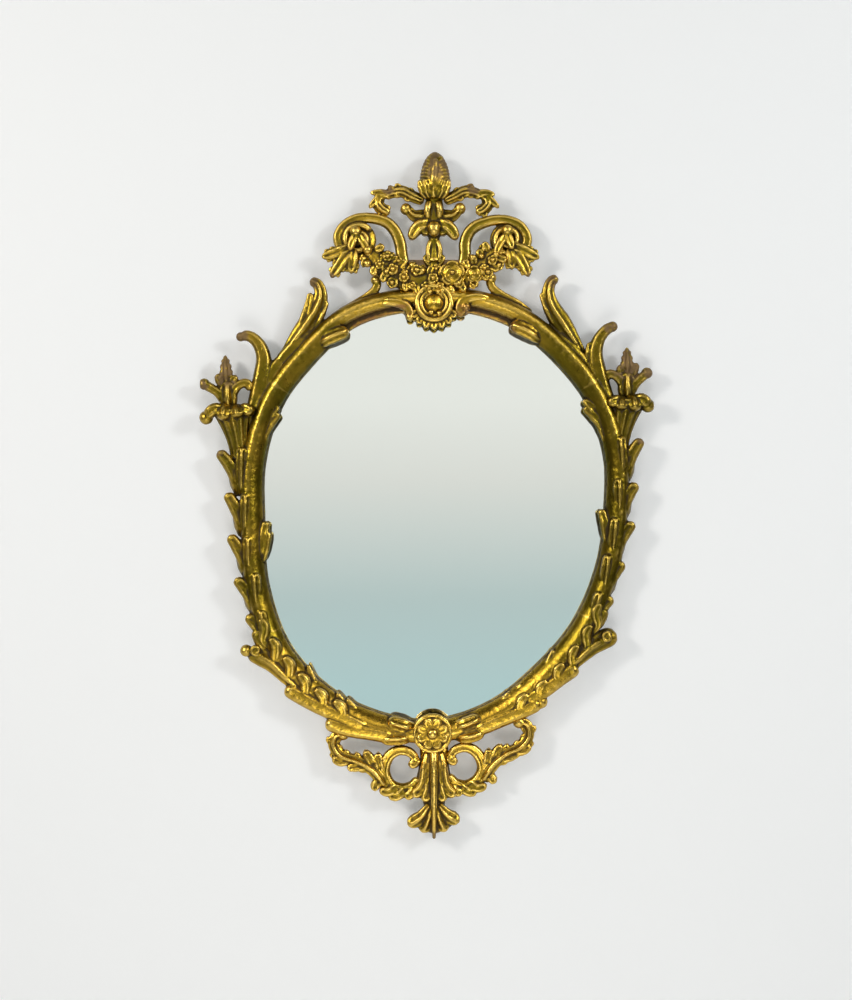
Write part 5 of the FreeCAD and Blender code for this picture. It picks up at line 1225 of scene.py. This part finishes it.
def petal_tree():
    """Tree that sets copies of one petal in a ring or a fan about the depth axis."""
    found = bpy.data.node_groups.get("Petals")
    if found:
        return found
    tree = node_tree("Petals", [("Geometry", "NodeSocketGeometry"), ("Count", "NodeSocketInt"),
                                ("Start", "NodeSocketFloat"), ("Step", "NodeSocketFloat"),
                                ("Place", "NodeSocketVector"), ("Material", "NodeSocketMaterial")])
    graph = Graph(tree)
    entry = graph.add("NodeGroupInput")

    def given(name):
        return Wire(graph, entry.socket.node.outputs[name])

    points = graph.add("GeometryNodePoints", None, {"Count": given("Count"), "Position": given("Place")})
    number = graph.add("GeometryNodeInputIndex")
    turn = given("Start") + number * given("Step")
    euler = graph.add("ShaderNodeCombineXYZ", None, {"Y": turn})
    copies = graph.add("GeometryNodeInstanceOnPoints", None,
                       {"Points": points, "Instance": entry, "Rotation": euler})
    solid = graph.add("GeometryNodeRealizeInstances", None, {"Geometry": copies})
    painted = graph.add("GeometryNodeSetMaterial", None, {"Geometry": solid, "Material": given("Material")})
    graph.add("NodeGroupOutput", None, {0: painted})
    return tree


def add_petals(carving, petal, pixel, count, start, step):
    """Add a ring or a fan of petals about a place. The petal is carved pointing up from the centre pixel."""
    across, up = wall_place(pixel)
    points, faces = run_tree(petal_tree(), petal.to_mesh("Petal"), {
        "Count": count, "Start": start, "Step": step,
        "Place": (across * MILLIMETRE, 0.0, up * MILLIMETRE), "Material": material("gilding", paint_gilding)})
    carving.add_mesh(points, faces)


def petal_of(form, reach):
    """One petal at the origin that points up, from the first reach to the last."""
    petal = Carving()
    petal.add_limb(form, [(0.0, distance) for distance in reach])
    return petal


def arc_petal_of(form, radius, spread_angle):
    """One petal at the origin that bends round it, above the centre."""
    petal = Carving()
    turns = np.linspace(-spread_angle, spread_angle, 5)
    petal.add_limb(form, [(radius * math.sin(turn), radius * math.cos(turn)) for turn in turns])
    return petal


def add_blossom(carving, pixel, radius, depth):
    """Add a small open blossom of five petals about a bead."""
    petal = petal_of(dict(width=radius * 1.2, back=depth - radius, front=depth + radius * 0.2,
                          taper=(0.6, 1, 0.8), grooves=1, cut=radius * 0.15), (radius * 0.25, radius * 0.6,
                                                                               radius))
    add_petals(carving, petal, pixel, BLOSSOM_PETALS, radius, 2 * math.pi / BLOSSOM_PETALS)
    carving.add_bead(pixel, depth, radius * 0.42)


def rail_section_mesh(coved):
    """Closed outline of the rail's section: depth across and inset up."""
    torus = np.linspace(0, 1, 15)
    outline = [(0.0, LIP_BACK)]
    if coved:
        outline += [(COVE_WIDTH * math.sin(turn), LIP_FRONT + (COVE_FRONT - LIP_FRONT) * (1 - math.cos(turn)))
                    for turn in np.linspace(0, math.pi / 2, 7)]
    crown = RAIL_WIDTH - COVE_WIDTH
    middle = COVE_WIDTH + crown / 2
    if not coved:
        outline += [(middle * share,
                     LIP_FRONT + (BAND_FRONT - LIP_FRONT) * math.sin(math.pi / 2 * share) ** 0.55)
                    for share in np.linspace(0, 1, 12, endpoint=False)]
    for share in torus[1:]:
        base = COVE_FRONT + (RAIL_FLANK - COVE_FRONT) * share
        front = base + (RAIL_FRONT - COVE_FRONT) * math.sin(math.pi * share) ** 0.5
        if coved or share >= 0.5:
            outline.append((COVE_WIDTH + crown * share, front))
    outline += [(RAIL_WIDTH, RAIL_BACK), (REBATE_WIDTH, RAIL_BACK), (REBATE_WIDTH, LIP_BACK)]
    mesh = bpy.data.meshes.new("Section")
    points = [(-depth * MILLIMETRE, -inset * MILLIMETRE, 0.0) for inset, depth in outline]
    edges = [(index, (index + 1) % len(points)) for index in range(len(points))]
    mesh.from_pydata(points, edges, [])
    return mesh


def add_moulding(carving, start_pixel, end_pixel, section):
    """Add the length of moulding between two joints of the rail."""
    line = smooth_line([wall_place(pixel) for pixel in SIGHT_PIXELS], step=2.0, closed=True)[:-1]
    first = np.argmin(np.linalg.norm(line - wall_place(start_pixel), axis=1))
    last = np.argmin(np.linalg.norm(line - wall_place(end_pixel), axis=1))
    if last <= first:
        last += len(line)
    path = np.vstack([line[index % len(line)] for index in range(first, last + 1)])
    for end, inner in ((0, 1), (-1, -2)):
        reach = path[end] - path[inner]
        path[end] += reach / np.linalg.norm(reach) * SEAM_LAP
    mesh = bpy.data.meshes.new("Path")
    mesh.from_pydata([(across * MILLIMETRE, 0.0, up * MILLIMETRE) for across, up in path],
                     [(index, index + 1) for index in range(len(path) - 1)], [])
    points, faces = run_tree(moulding_tree(), mesh, {
        "Section": section, "Material": material("gilding", paint_gilding)})
    carving.add_mesh(points, faces)


def part_way(first, second, share):
    """Place at a share of the way between two places."""
    return np.asarray(first) * (1 - share) + np.asarray(second) * share


def add_husk(carving, outer, front, root):
    """Add one husk: an outer and a front leaf that open upward from one root."""
    outer_tip, front_tip, root_place = (wall_place(pixel) for pixel in (outer, front, root))
    outer_middle = part_way(part_way(root_place, outer_tip, 0.5), front_tip, HUSK_BEND)
    body_tip = part_way(root_place, part_way(outer_tip, front_tip, HUSK_BODY_SIDE), HUSK_BODY_REACH)
    carving.add_limb(KINDS["husk_body"], [root_place, part_way(root_place, body_tip, 0.5), body_tip])
    carving.add_limb(KINDS["husk_outer"], [root_place, outer_middle, outer_tip])
    carving.add_limb(KINDS["husk_front"], [root_place, part_way(root_place, front_tip, 0.5), front_tip])


def add_commas(carving, pixels, count):
    """Add a row of slanted leaflets that overlap up the middle of a lower rail."""
    line = smooth_line([wall_place(pixel) for pixel in pixels], step=1.0)
    side = 1 if pixels[-1][0] < CENTRE_PIXEL else -1
    for number in range(count):
        index = int((len(line) - 1) * (COMMA_START + COMMA_SPAN * number / (count - 1)))
        ahead = line[min(index + 2, len(line) - 1)] - line[max(index - 2, 0)]
        ahead /= np.linalg.norm(ahead)
        lean = ahead * COMMA_LEAN + np.array([0.0, 1.0 - COMMA_LEAN])
        lean /= np.linalg.norm(lean)
        inward = np.array([lean[1], -lean[0]]) * side
        root = line[index] - lean * COMMA_LENGTH / 2
        tip = line[index] + lean * COMMA_LENGTH / 2
        low = line[index] - lean * COMMA_LENGTH / 6 - inward * COMMA_BEND
        high = line[index] + lean * COMMA_LENGTH / 6 + inward * COMMA_BEND * 0.6
        carving.add_limb(KINDS["comma"], [root, low, high, tip])


def add_coil(carving, kind, pixel, radius, hand):
    """Add a spiral that winds in to the middle of a scroll's eye."""
    middle = wall_place(pixel)
    places = []
    for share in np.linspace(0, 1, COIL_POINTS):
        turn = hand * (share * COIL_HALF_TURNS * math.pi + COIL_FIRST_ANGLE)
        reach = radius * (1 - COIL_SHRINK * share)
        places.append(middle + reach * np.array([math.cos(turn), math.sin(turn)]))
    carving.add_limb(KINDS[kind], places)


class PieceOperator:
    """Settings that all the operators share."""

    bl_options = {"REGISTER", "UNDO"}


class MIRROR_OT_rails(PieceOperator, bpy.types.Operator):
    """Sweep the six rail segments and carve their leaves, husks and curls"""

    bl_idname = "mirror.rails"
    bl_label = "Rails"

    def execute(self, context):
        sections = [new_object("Section", rail_section_mesh(coved)) for coved in (False, True)]
        for node, (start, end) in SEGMENT_PIXELS.items():
            carving = Carving()
            stops = [start, end]
            if node in COVE_END_PIXELS:
                stops.insert(1, COVE_END_PIXELS[node])
            for first, last in zip(stops, stops[1:]):
                add_moulding(carving, first, last, sections[SIGHT_PIXELS[0] in (first, last)])
            carving.add_limbs(RAIL_LIMB_PIXELS[node])
            for husk in HUSK_PIXELS.get(node, []):
                add_husk(carving, *husk)
            if node in COMMA_PIXELS:
                add_commas(carving, *COMMA_PIXELS[node])
            for pixel, radius, depth in RAIL_KNOB_PIXELS[node]:
                carving.add_bead(pixel, depth, radius)
            if node in CURL_EYE_PIXELS:
                hand = -1 if node.endswith("left") else 1
                add_coil(carving, "small_coil", CURL_EYE_PIXELS[node], CURL_EYE_RADIUS, hand)
            finish_carving(carving, node, context.scene.mirror_carving.rail_voxel,
                           red_cove=node in COVE_END_PIXELS)
        for section in sections:
            outline = section.data
            bpy.data.objects.remove(section)
            bpy.data.meshes.remove(outline)
        return {"FINISHED"}


class MIRROR_OT_shoulders(PieceOperator, bpy.types.Operator):
    """Carve the flared cups and the buds that stand in them"""

    bl_idname = "mirror.shoulders"
    bl_label = "Cups and buds"

    def execute(self, context):
        voxel = context.scene.mirror_carving.voxel
        for node, knob in SHOULDER_KNOB_PIXELS.items():
            if node in BUD_LIMB_PIXELS:
                carve_limbs(node, BUD_LIMB_PIXELS[node], voxel, [(knob, *BUD_KNOB)])
                continue
            cup = Carving()
            cup.add_turned(CUP_PIXELS[node], CUP_AXIS, ribs=CUP_RIBS, rib_depth=CUP_RIB_SHARE, back=CUP_BACK,
                           flat=CUP_FLATNESS)
            cup.add_limbs(CUP_LIMB_PIXELS[node])
            cup.add_bead(knob, *CUP_KNOB)
            finish_carving(cup, node, voxel)
        return {"FINISHED"}


class MIRROR_OT_crest(PieceOperator, bpy.types.Operator):
    """Carve the finial, the stem, the leaf arms, the C-scrolls and the drops"""

    bl_idname = "mirror.crest"
    bl_label = "Crest"

    def execute(self, context):
        voxel = context.scene.mirror_carving.voxel
        finial = Carving()
        finial.add_turned([((CENTRE_PIXEL + 1, level), half) for level, half in FINIAL_PIXELS], CREST_AXIS,
                          ridge_pitch=FINIAL_PITCH, ridge_depth=FINIAL_RIDGE_SHARE)
        finial.add_limbs(FINIAL_LIMB_PIXELS)
        finish_carving(finial, "crest_finial", voxel * FINE_GRAIN)
        stem = Carving()
        stem.add_turned([((CENTRE_PIXEL, level), half) for level, half in STEM_PIXELS], CREST_AXIS)
        stem.add_limbs(STEM_LIMB_PIXELS)
        for pixel in STEM_KNOB_PIXELS:
            stem.add_bead(pixel, *STEM_KNOB)
        finish_carving(stem, "crest_stem", voxel)
        for node, limbs in ARM_LIMB_PIXELS.items():
            carve_limbs(node, limbs, voxel)
        for node, pixels in SCROLL_PIXELS.items():
            scroll = Carving()
            scroll.add_limbs([("scroll", pixels)])
            scroll.add_bead(SCROLL_EYE_PIXELS[node], SCROLL_EYE_DEPTH, SCROLL_EYE_RADIUS, SCROLL_EYE_RISE)
            hand = 1 if node.endswith("left") else -1
            add_coil(scroll, "coil", SCROLL_EYE_PIXELS[node], SCROLL_EYE_RADIUS - COIL_INSET, hand)
            finish_carving(scroll, node, voxel)
        for node, limbs in DROP_LIMB_PIXELS.items():
            carve_limbs(node, limbs, voxel, [(DROP_KNOB_PIXELS[node], *DROP_KNOB)])
        return {"FINISHED"}


class MIRROR_OT_garland(PieceOperator, bpy.types.Operator):
    """Carve the garland with its blossoms and the two roses"""

    bl_idname = "mirror.garland"
    bl_label = "Garland and roses"

    def execute(self, context):
        voxel = context.scene.mirror_carving.voxel
        garland = Carving()
        garland.add_limbs([("garland", GARLAND_PIXELS)])
        line = smooth_line([wall_place(pixel) for pixel in GARLAND_PIXELS])
        tangent = np.gradient(line, axis=0)
        tangent /= np.linalg.norm(tangent, axis=1)[:, None]
        across = np.column_stack([tangent[:, 1], -tangent[:, 0]])
        for number in range(GARLAND_BUDS):
            index = int((len(line) - 1) * number / (GARLAND_BUDS - 1))
            middle = line[index] + across[index] * GARLAND_SPREAD * math.sin(number * BUD_PLACE_ANGLE)
            pixel = (middle[0] + CENTRE_PIXEL, LEVEL_PIXEL - middle[1])
            radius = BUD_RADIUS + BUD_RADIUS_SWING * math.cos(number * BUD_RADIUS_ANGLE)
            depth = BUD_DEPTH + BUD_DEPTH_SWING * math.cos(number * BUD_PLACE_ANGLE)
            if number % 3:
                add_blossom(garland, pixel, radius, depth)
            else:
                garland.add_bead(pixel, depth - BEAD_SINK, radius * BEAD_SHARE)
        for number in range(GARLAND_SPRIGS):
            index = int((len(line) - 1) * (number + 0.5) / GARLAND_SPRIGS)
            for sign in (-1, 1):
                root = line[index] + across[index] * sign * SPRIG_ROOT
                tip = line[index] + across[index] * sign * SPRIG_REACH + tangent[index] * SPRIG_LEAN
                garland.add_limb(KINDS["sprig"], [root, part_way(root, tip, 0.5), tip])
        for pixel, radius, depth in BLOSSOM_PIXELS:
            add_blossom(garland, pixel, radius, depth)
        finish_carving(garland, "crest_garland", voxel * GARLAND_GRAIN)
        for node, (pixel, radius) in ROSE_PIXELS.items():
            rose = Carving()
            rose.add_bead(pixel, ROSE_SEAT - 3.0, radius * 0.95, 6.0)
            for ring, (reach, count) in enumerate(ROSE_RINGS):
                form = dict(width=radius * 0.42, back=ROSE_SEAT - 5, front=ROSE_SEAT + 2.0 + ring * 1.4,
                            taper=(0.5, 1, 1, 0.5), grooves=1, cut=radius * 0.08)
                petal = arc_petal_of(form, radius * reach, math.pi / count * 0.95)
                add_petals(rose, petal, pixel, count, ring * 0.6, 2 * math.pi / count)
            rose.add_bead(pixel, ROSE_SEAT + 4.0, radius * 0.17)
            finish_carving(rose, node, voxel * ROSE_GRAIN)
        return {"FINISHED"}


class MIRROR_OT_cartouche(PieceOperator, bpy.types.Operator):
    """Carve the cartouche: a dome in a ring, beads above it and a fan of lobes below"""

    bl_idname = "mirror.cartouche"
    bl_label = "Cartouche"

    def execute(self, context):
        cartouche = Carving()
        cartouche.add_bead(CARTOUCHE_PIXEL, *CARTOUCHE_BED)
        for hoop in CARTOUCHE_HOOPS:
            cartouche.add_hoop(CARTOUCHE_PIXEL, *hoop)
        cartouche.add_bead(CARTOUCHE_PIXEL, *CARTOUCHE_DOME)
        petal = petal_of(CARTOUCHE_PETAL, CARTOUCHE_PETAL_REACH)
        add_petals(cartouche, petal, CARTOUCHE_PIXEL, CARTOUCHE_PETALS, 0.0, 2 * math.pi / CARTOUCHE_PETALS)
        cartouche.add_bead(CARTOUCHE_PIXEL, *CARTOUCHE_BUTTON)
        lobe = petal_of(KINDS["fan_lobe"], FAN_LOBE_REACH)
        add_petals(cartouche, lobe, CARTOUCHE_PIXEL, FAN_LOBES, math.radians(FAN_FIRST_DEGREES),
                   math.radians(FAN_STEP_DEGREES))
        for pixel in CARTOUCHE_BEAD_PIXELS:
            cartouche.add_bead(pixel, *CARTOUCHE_BEAD)
        finish_carving(cartouche, "cartouche", context.scene.mirror_carving.voxel * FINE_GRAIN)
        return {"FINISHED"}


class MIRROR_OT_rosette(PieceOperator, bpy.types.Operator):
    """Carve the rosette: a rim, eight petals and a button"""

    bl_idname = "mirror.rosette"
    bl_label = "Rosette"

    def execute(self, context):
        rosette = Carving()
        rosette.add_bead(ROSETTE_PIXEL, *ROSETTE_BED)
        rosette.add_hoop(ROSETTE_PIXEL, *ROSETTE_HOOP)
        petal = petal_of(ROSETTE_PETAL, ROSETTE_PETAL_REACH)
        step = 2 * math.pi / ROSETTE_PETALS
        add_petals(rosette, petal, ROSETTE_PIXEL, ROSETTE_PETALS, step / 2, step)
        rosette.add_bead(ROSETTE_PIXEL, *ROSETTE_BUTTON)
        finish_carving(rosette, "rosette", context.scene.mirror_carving.voxel * FINE_GRAIN)
        return {"FINISHED"}


class MIRROR_OT_apron(PieceOperator, bpy.types.Operator):
    """Carve the pendant, the open loops and the acanthus scrolls below the glass"""

    bl_idname = "mirror.apron"
    bl_label = "Apron"

    def execute(self, context):
        voxel = context.scene.mirror_carving.voxel
        for node, limbs in APRON_LIMB_PIXELS.items():
            knobs = [(APRON_KNOB_PIXELS[node], *APRON_KNOB)] if node in APRON_KNOB_PIXELS else []
            carve_limbs(node, limbs, voxel, knobs)
        return {"FINISHED"}


class MIRROR_OT_glass(PieceOperator, bpy.types.Operator):
    """Set the glass a hair in front of its silvering, with flat faces, and give both their materials"""

    bl_idname = "mirror.glass"
    bl_label = "Glass"

    def execute(self, context):
        silver_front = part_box("mirror_silvering")[0].y
        plates = {"mirror_glass": ("plate_glass", "glass", paint_glass, silver_front - GLASS_GAP),
                  "mirror_silvering": ("plate_silvering", "silvering", paint_silvering, 0.0)}
        for node, (name, slot, paint, back) in plates.items():
            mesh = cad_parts[node].data.copy()
            joined = bmesh.new()
            joined.from_mesh(mesh)
            bmesh.ops.remove_doubles(joined, verts=joined.verts, dist=WELD_DISTANCE)
            joined.to_mesh(mesh)
            joined.free()
            points = mesh_points(mesh)
            points[:, 1] = np.minimum(points[:, 1], back)
            mesh.vertices.foreach_set("co", points.ravel())
            mesh.shade_flat()
            mesh.materials.clear()
            mesh.materials.append(material(f"aged_{slot}", paint))
            plate = new_object(name, mesh)
            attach(plate, "frame")
            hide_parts(node)
        return {"FINISHED"}


class MIRROR_OT_fittings(PieceOperator, bpy.types.Operator):
    """Give the back board, the hanger and the other back fittings their materials"""

    bl_idname = "mirror.fittings"
    bl_label = "Back fittings"

    def execute(self, context):
        for name, nodes in FITTING_NODES.items():
            for node in nodes:
                dress(node, material(f"aged_{name}", FITTING_PAINTS[name]))
        return {"FINISHED"}


def dress(node, paint):
    """Give a node of the frame one material."""
    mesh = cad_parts[node].data
    mesh.materials.clear()
    mesh.materials.append(paint)


def paint_wall(graph):
    """White painted wall with one side, so that the back of the mirror is seen and lit through it."""
    fleck = graph.noise(graph.object_place(), 300.0, 3.0)
    paint = graph.add("ShaderNodeBsdfPrincipled", None, {
        "Base Color": (0.84, 0.84, 0.835, 1.0), "Roughness": 0.8 + fleck * 0.1,
        "Emission Color": (0.95, 1.0, 1.0, 1.0), "Emission Strength": WALL_GLOW})
    rays = graph.add("ShaderNodeLightPath").socket.node.outputs
    behind = graph.add("ShaderNodeNewGeometry", None, None, "Backfacing")
    shadow = Wire(graph, rays["Is Shadow Ray"])
    clear = graph.add("ShaderNodeBsdfTransparent")
    open_share = behind.maths("MAXIMUM", behind, shadow)
    mixed = graph.add("ShaderNodeMixShader", None, {0: open_share, 1: paint, 2: clear})
    graph.add("ShaderNodeOutputMaterial", None, {"Surface": mixed})


def paint_floor(graph):
    """Pale floor that keeps shadows and looks evenly lit."""
    fleck = graph.noise(graph.object_place(), 200.0, 3.0)
    rays = graph.add("ShaderNodeLightPath").socket.node.outputs
    seen = Wire(graph, rays["Is Camera Ray"])
    for kind in ("Is Glossy Ray", "Is Transmission Ray"):
        seen = seen.maths("MAXIMUM", seen, Wire(graph, rays[kind]))
    glow = seen.blend(FLOOR_GLOW, SEEN_FLOOR_GLOW)
    graph.surface({"Base Color": (0.8, 0.8, 0.8, 1.0), "Roughness": 0.8 + fleck * 0.1, "Emission Color": glow,
                   "Emission Strength": 1.0})


def stage_plane(name, corners, paint):
    """Flat plane of the stage."""
    mesh = bpy.data.meshes.new(name)
    mesh.from_pydata(corners, [], [(0, 1, 2, 3)])
    mesh.materials.append(material(name.lower(), paint))
    made = new_object(name, mesh)


def add_lamp(name, place, size, power, colour):
    """Soft square lamp that faces the middle of the mirror."""
    data = bpy.data.lights.new(name, "AREA")
    data.size = size
    data.energy = power
    data.color = colour
    lamp = bpy.data.objects.new(name, data)
    lamp.location = place
    lamp.visible_transmission = False
    aim = np.array(LAMP_AIM) - np.array(place)
    flat = math.hypot(aim[0], aim[1])
    lamp.rotation_euler = (math.atan2(flat, -aim[2]), 0.0, math.atan2(-aim[0], aim[1]))
    bpy.context.scene.collection.objects.link(lamp)


def light_room(strength):
    """World that is white to the camera and a soft room to reflections."""
    world = bpy.data.worlds.new("Room")
    bpy.context.scene.world = world
    world.use_nodes = True
    world.node_tree.nodes.clear()
    graph = Graph(world.node_tree)
    direction = graph.add("ShaderNodeTexCoord", None, None, "Generated")
    up = graph.add("ShaderNodeSeparateXYZ", None, {"Vector": direction}, "Z")
    ramp = graph.add("ShaderNodeValToRGB", None, {"Fac": up * 0.5 + 0.5})
    stops = ramp.socket.node.color_ramp.elements
    while len(stops) < len(ROOM_LIGHT):
        stops.new(0.5)
    for stop, (position, colour) in zip(stops, ROOM_LIGHT):
        stop.position = position
        stop.color = colour
    rays = graph.add("ShaderNodeLightPath").socket.node.outputs
    ahead = graph.add("ShaderNodeVectorMath", {"operation": "DOT_PRODUCT"},
                      {0: direction, 1: (0.0, -1.0, 0.0)}, "Value")
    window = ahead.between(0.95, 0.978)
    room = window.blend(DIM_ROOM, ramp)
    across, ahead_share, above = SIDE_WINDOW_PLACE
    for side in (-1.0, 1.0):
        toward = graph.add("ShaderNodeVectorMath", {"operation": "DOT_PRODUCT"},
                           {0: direction, 1: (side * across, ahead_share, above)}, "Value")
        room = toward.between(0.9, 0.97).blend(room, SIDE_WINDOW)
    on_gold = graph.add("ShaderNodeBackground", None, {"Color": room, "Strength": 1.0})
    in_glass = graph.add("ShaderNodeBackground", None, {"Color": ramp, "Strength": 1.0})
    fill = graph.add("ShaderNodeBackground", None, {"Color": (1.0, 1.0, 1.0, 1.0), "Strength": strength})
    white = graph.add("ShaderNodeBackground", None, {"Color": (1.0, 1.0, 1.0, 1.0), "Strength": 1.0})
    light = fill
    for kind, seen in (("Is Glossy Ray", on_gold), ("Is Transmission Ray", in_glass),
                       ("Is Camera Ray", white)):
        light = graph.add("ShaderNodeMixShader", None, {0: Wire(graph, rays[kind]), 1: light, 2: seen})
    graph.add("ShaderNodeOutputWorld", None, {"Surface": light})


class MIRROR_OT_stage(PieceOperator, bpy.types.Operator):
    """Set up the wall, the floor, the lamps, the room and the camera"""

    bl_idname = "mirror.stage"
    bl_label = "Stage"

    def execute(self, context):
        scene = context.scene
        settings = scene.mirror_stage
        left, right = -STAGE_HALF_WIDTH, STAGE_HALF_WIDTH
        stage_plane("Wall", [(left, WALL_PLACE, FLOOR_LEVEL), (right, WALL_PLACE, FLOOR_LEVEL),
                             (right, WALL_PLACE, WALL_TOP), (left, WALL_PLACE, WALL_TOP)], paint_wall)
        stage_plane("Floor", [(left, -FLOOR_REACH, FLOOR_LEVEL), (right, -FLOOR_REACH, FLOOR_LEVEL),
                              (right, FLOOR_REACH, FLOOR_LEVEL), (left, FLOOR_REACH,
                                                                  FLOOR_LEVEL)], paint_floor)
        for name, place, size, share, colour in LAMPS:
            add_lamp(name, place, size, settings.lamp_power * share, colour)
        light_room(settings.fill)
        data = bpy.data.cameras.new("Camera")
        data.sensor_fit = "VERTICAL"
        data.sensor_height = SENSOR_HEIGHT
        data.lens = SENSOR_HEIGHT * settings.camera_distance
        across, up = wall_place(PICTURE_MIDDLE) * MILLIMETRE
        data.shift_y = up - settings.camera_level
        camera = bpy.data.objects.new("Camera", data)
        camera.location = (across, -settings.camera_distance - FOCUS_DEPTH, settings.camera_level)
        camera.rotation_euler = (math.pi / 2, 0.0, 0.0)
        scene.collection.objects.link(camera)
        scene.camera = camera
        scene.view_settings.view_transform = "Standard"
        return {"FINISHED"}


OPERATORS = [MIRROR_OT_rails, MIRROR_OT_shoulders, MIRROR_OT_crest, MIRROR_OT_garland, MIRROR_OT_cartouche,
             MIRROR_OT_rosette, MIRROR_OT_apron, MIRROR_OT_glass, MIRROR_OT_fittings, MIRROR_OT_stage]


class MIRROR_PT_panel(bpy.types.Panel):
    """Steps that build the mirror"""

    bl_idname = "MIRROR_PT_panel"
    bl_label = "Carved wall mirror"
    bl_space_type = "VIEW_3D"
    bl_region_type = "UI"
    bl_category = "Mirror"

    def draw(self, context):
        for operator in OPERATORS:
            self.layout.operator(operator.bl_idname)


SETTINGS = {"mirror_carving": CarvingSettings, "mirror_gilding": GildingSettings,
            "mirror_stage": StageSettings}


def register():
    for name, group in SETTINGS.items():
        bpy.utils.register_class(group)
        setattr(bpy.types.Scene, name, bpy.props.PointerProperty(type=group))
    for operator in OPERATORS:
        bpy.utils.register_class(operator)
    bpy.utils.register_class(MIRROR_PT_panel)


def unregister():
    bpy.utils.unregister_class(MIRROR_PT_panel)
    for operator in reversed(OPERATORS):
        bpy.utils.unregister_class(operator)
    for name, group in SETTINGS.items():
        delattr(bpy.types.Scene, name)
        bpy.utils.unregister_class(group)


def main():
    register()
    bpy.ops.mirror.rails()
    bpy.ops.mirror.shoulders()
    bpy.ops.mirror.crest()
    bpy.ops.mirror.garland()
    bpy.ops.mirror.cartouche()
    bpy.ops.mirror.rosette()
    bpy.ops.mirror.apron()
    bpy.ops.mirror.glass()
    bpy.ops.mirror.fittings()
    bpy.ops.mirror.stage()


if __name__ == "__main__":
    main()
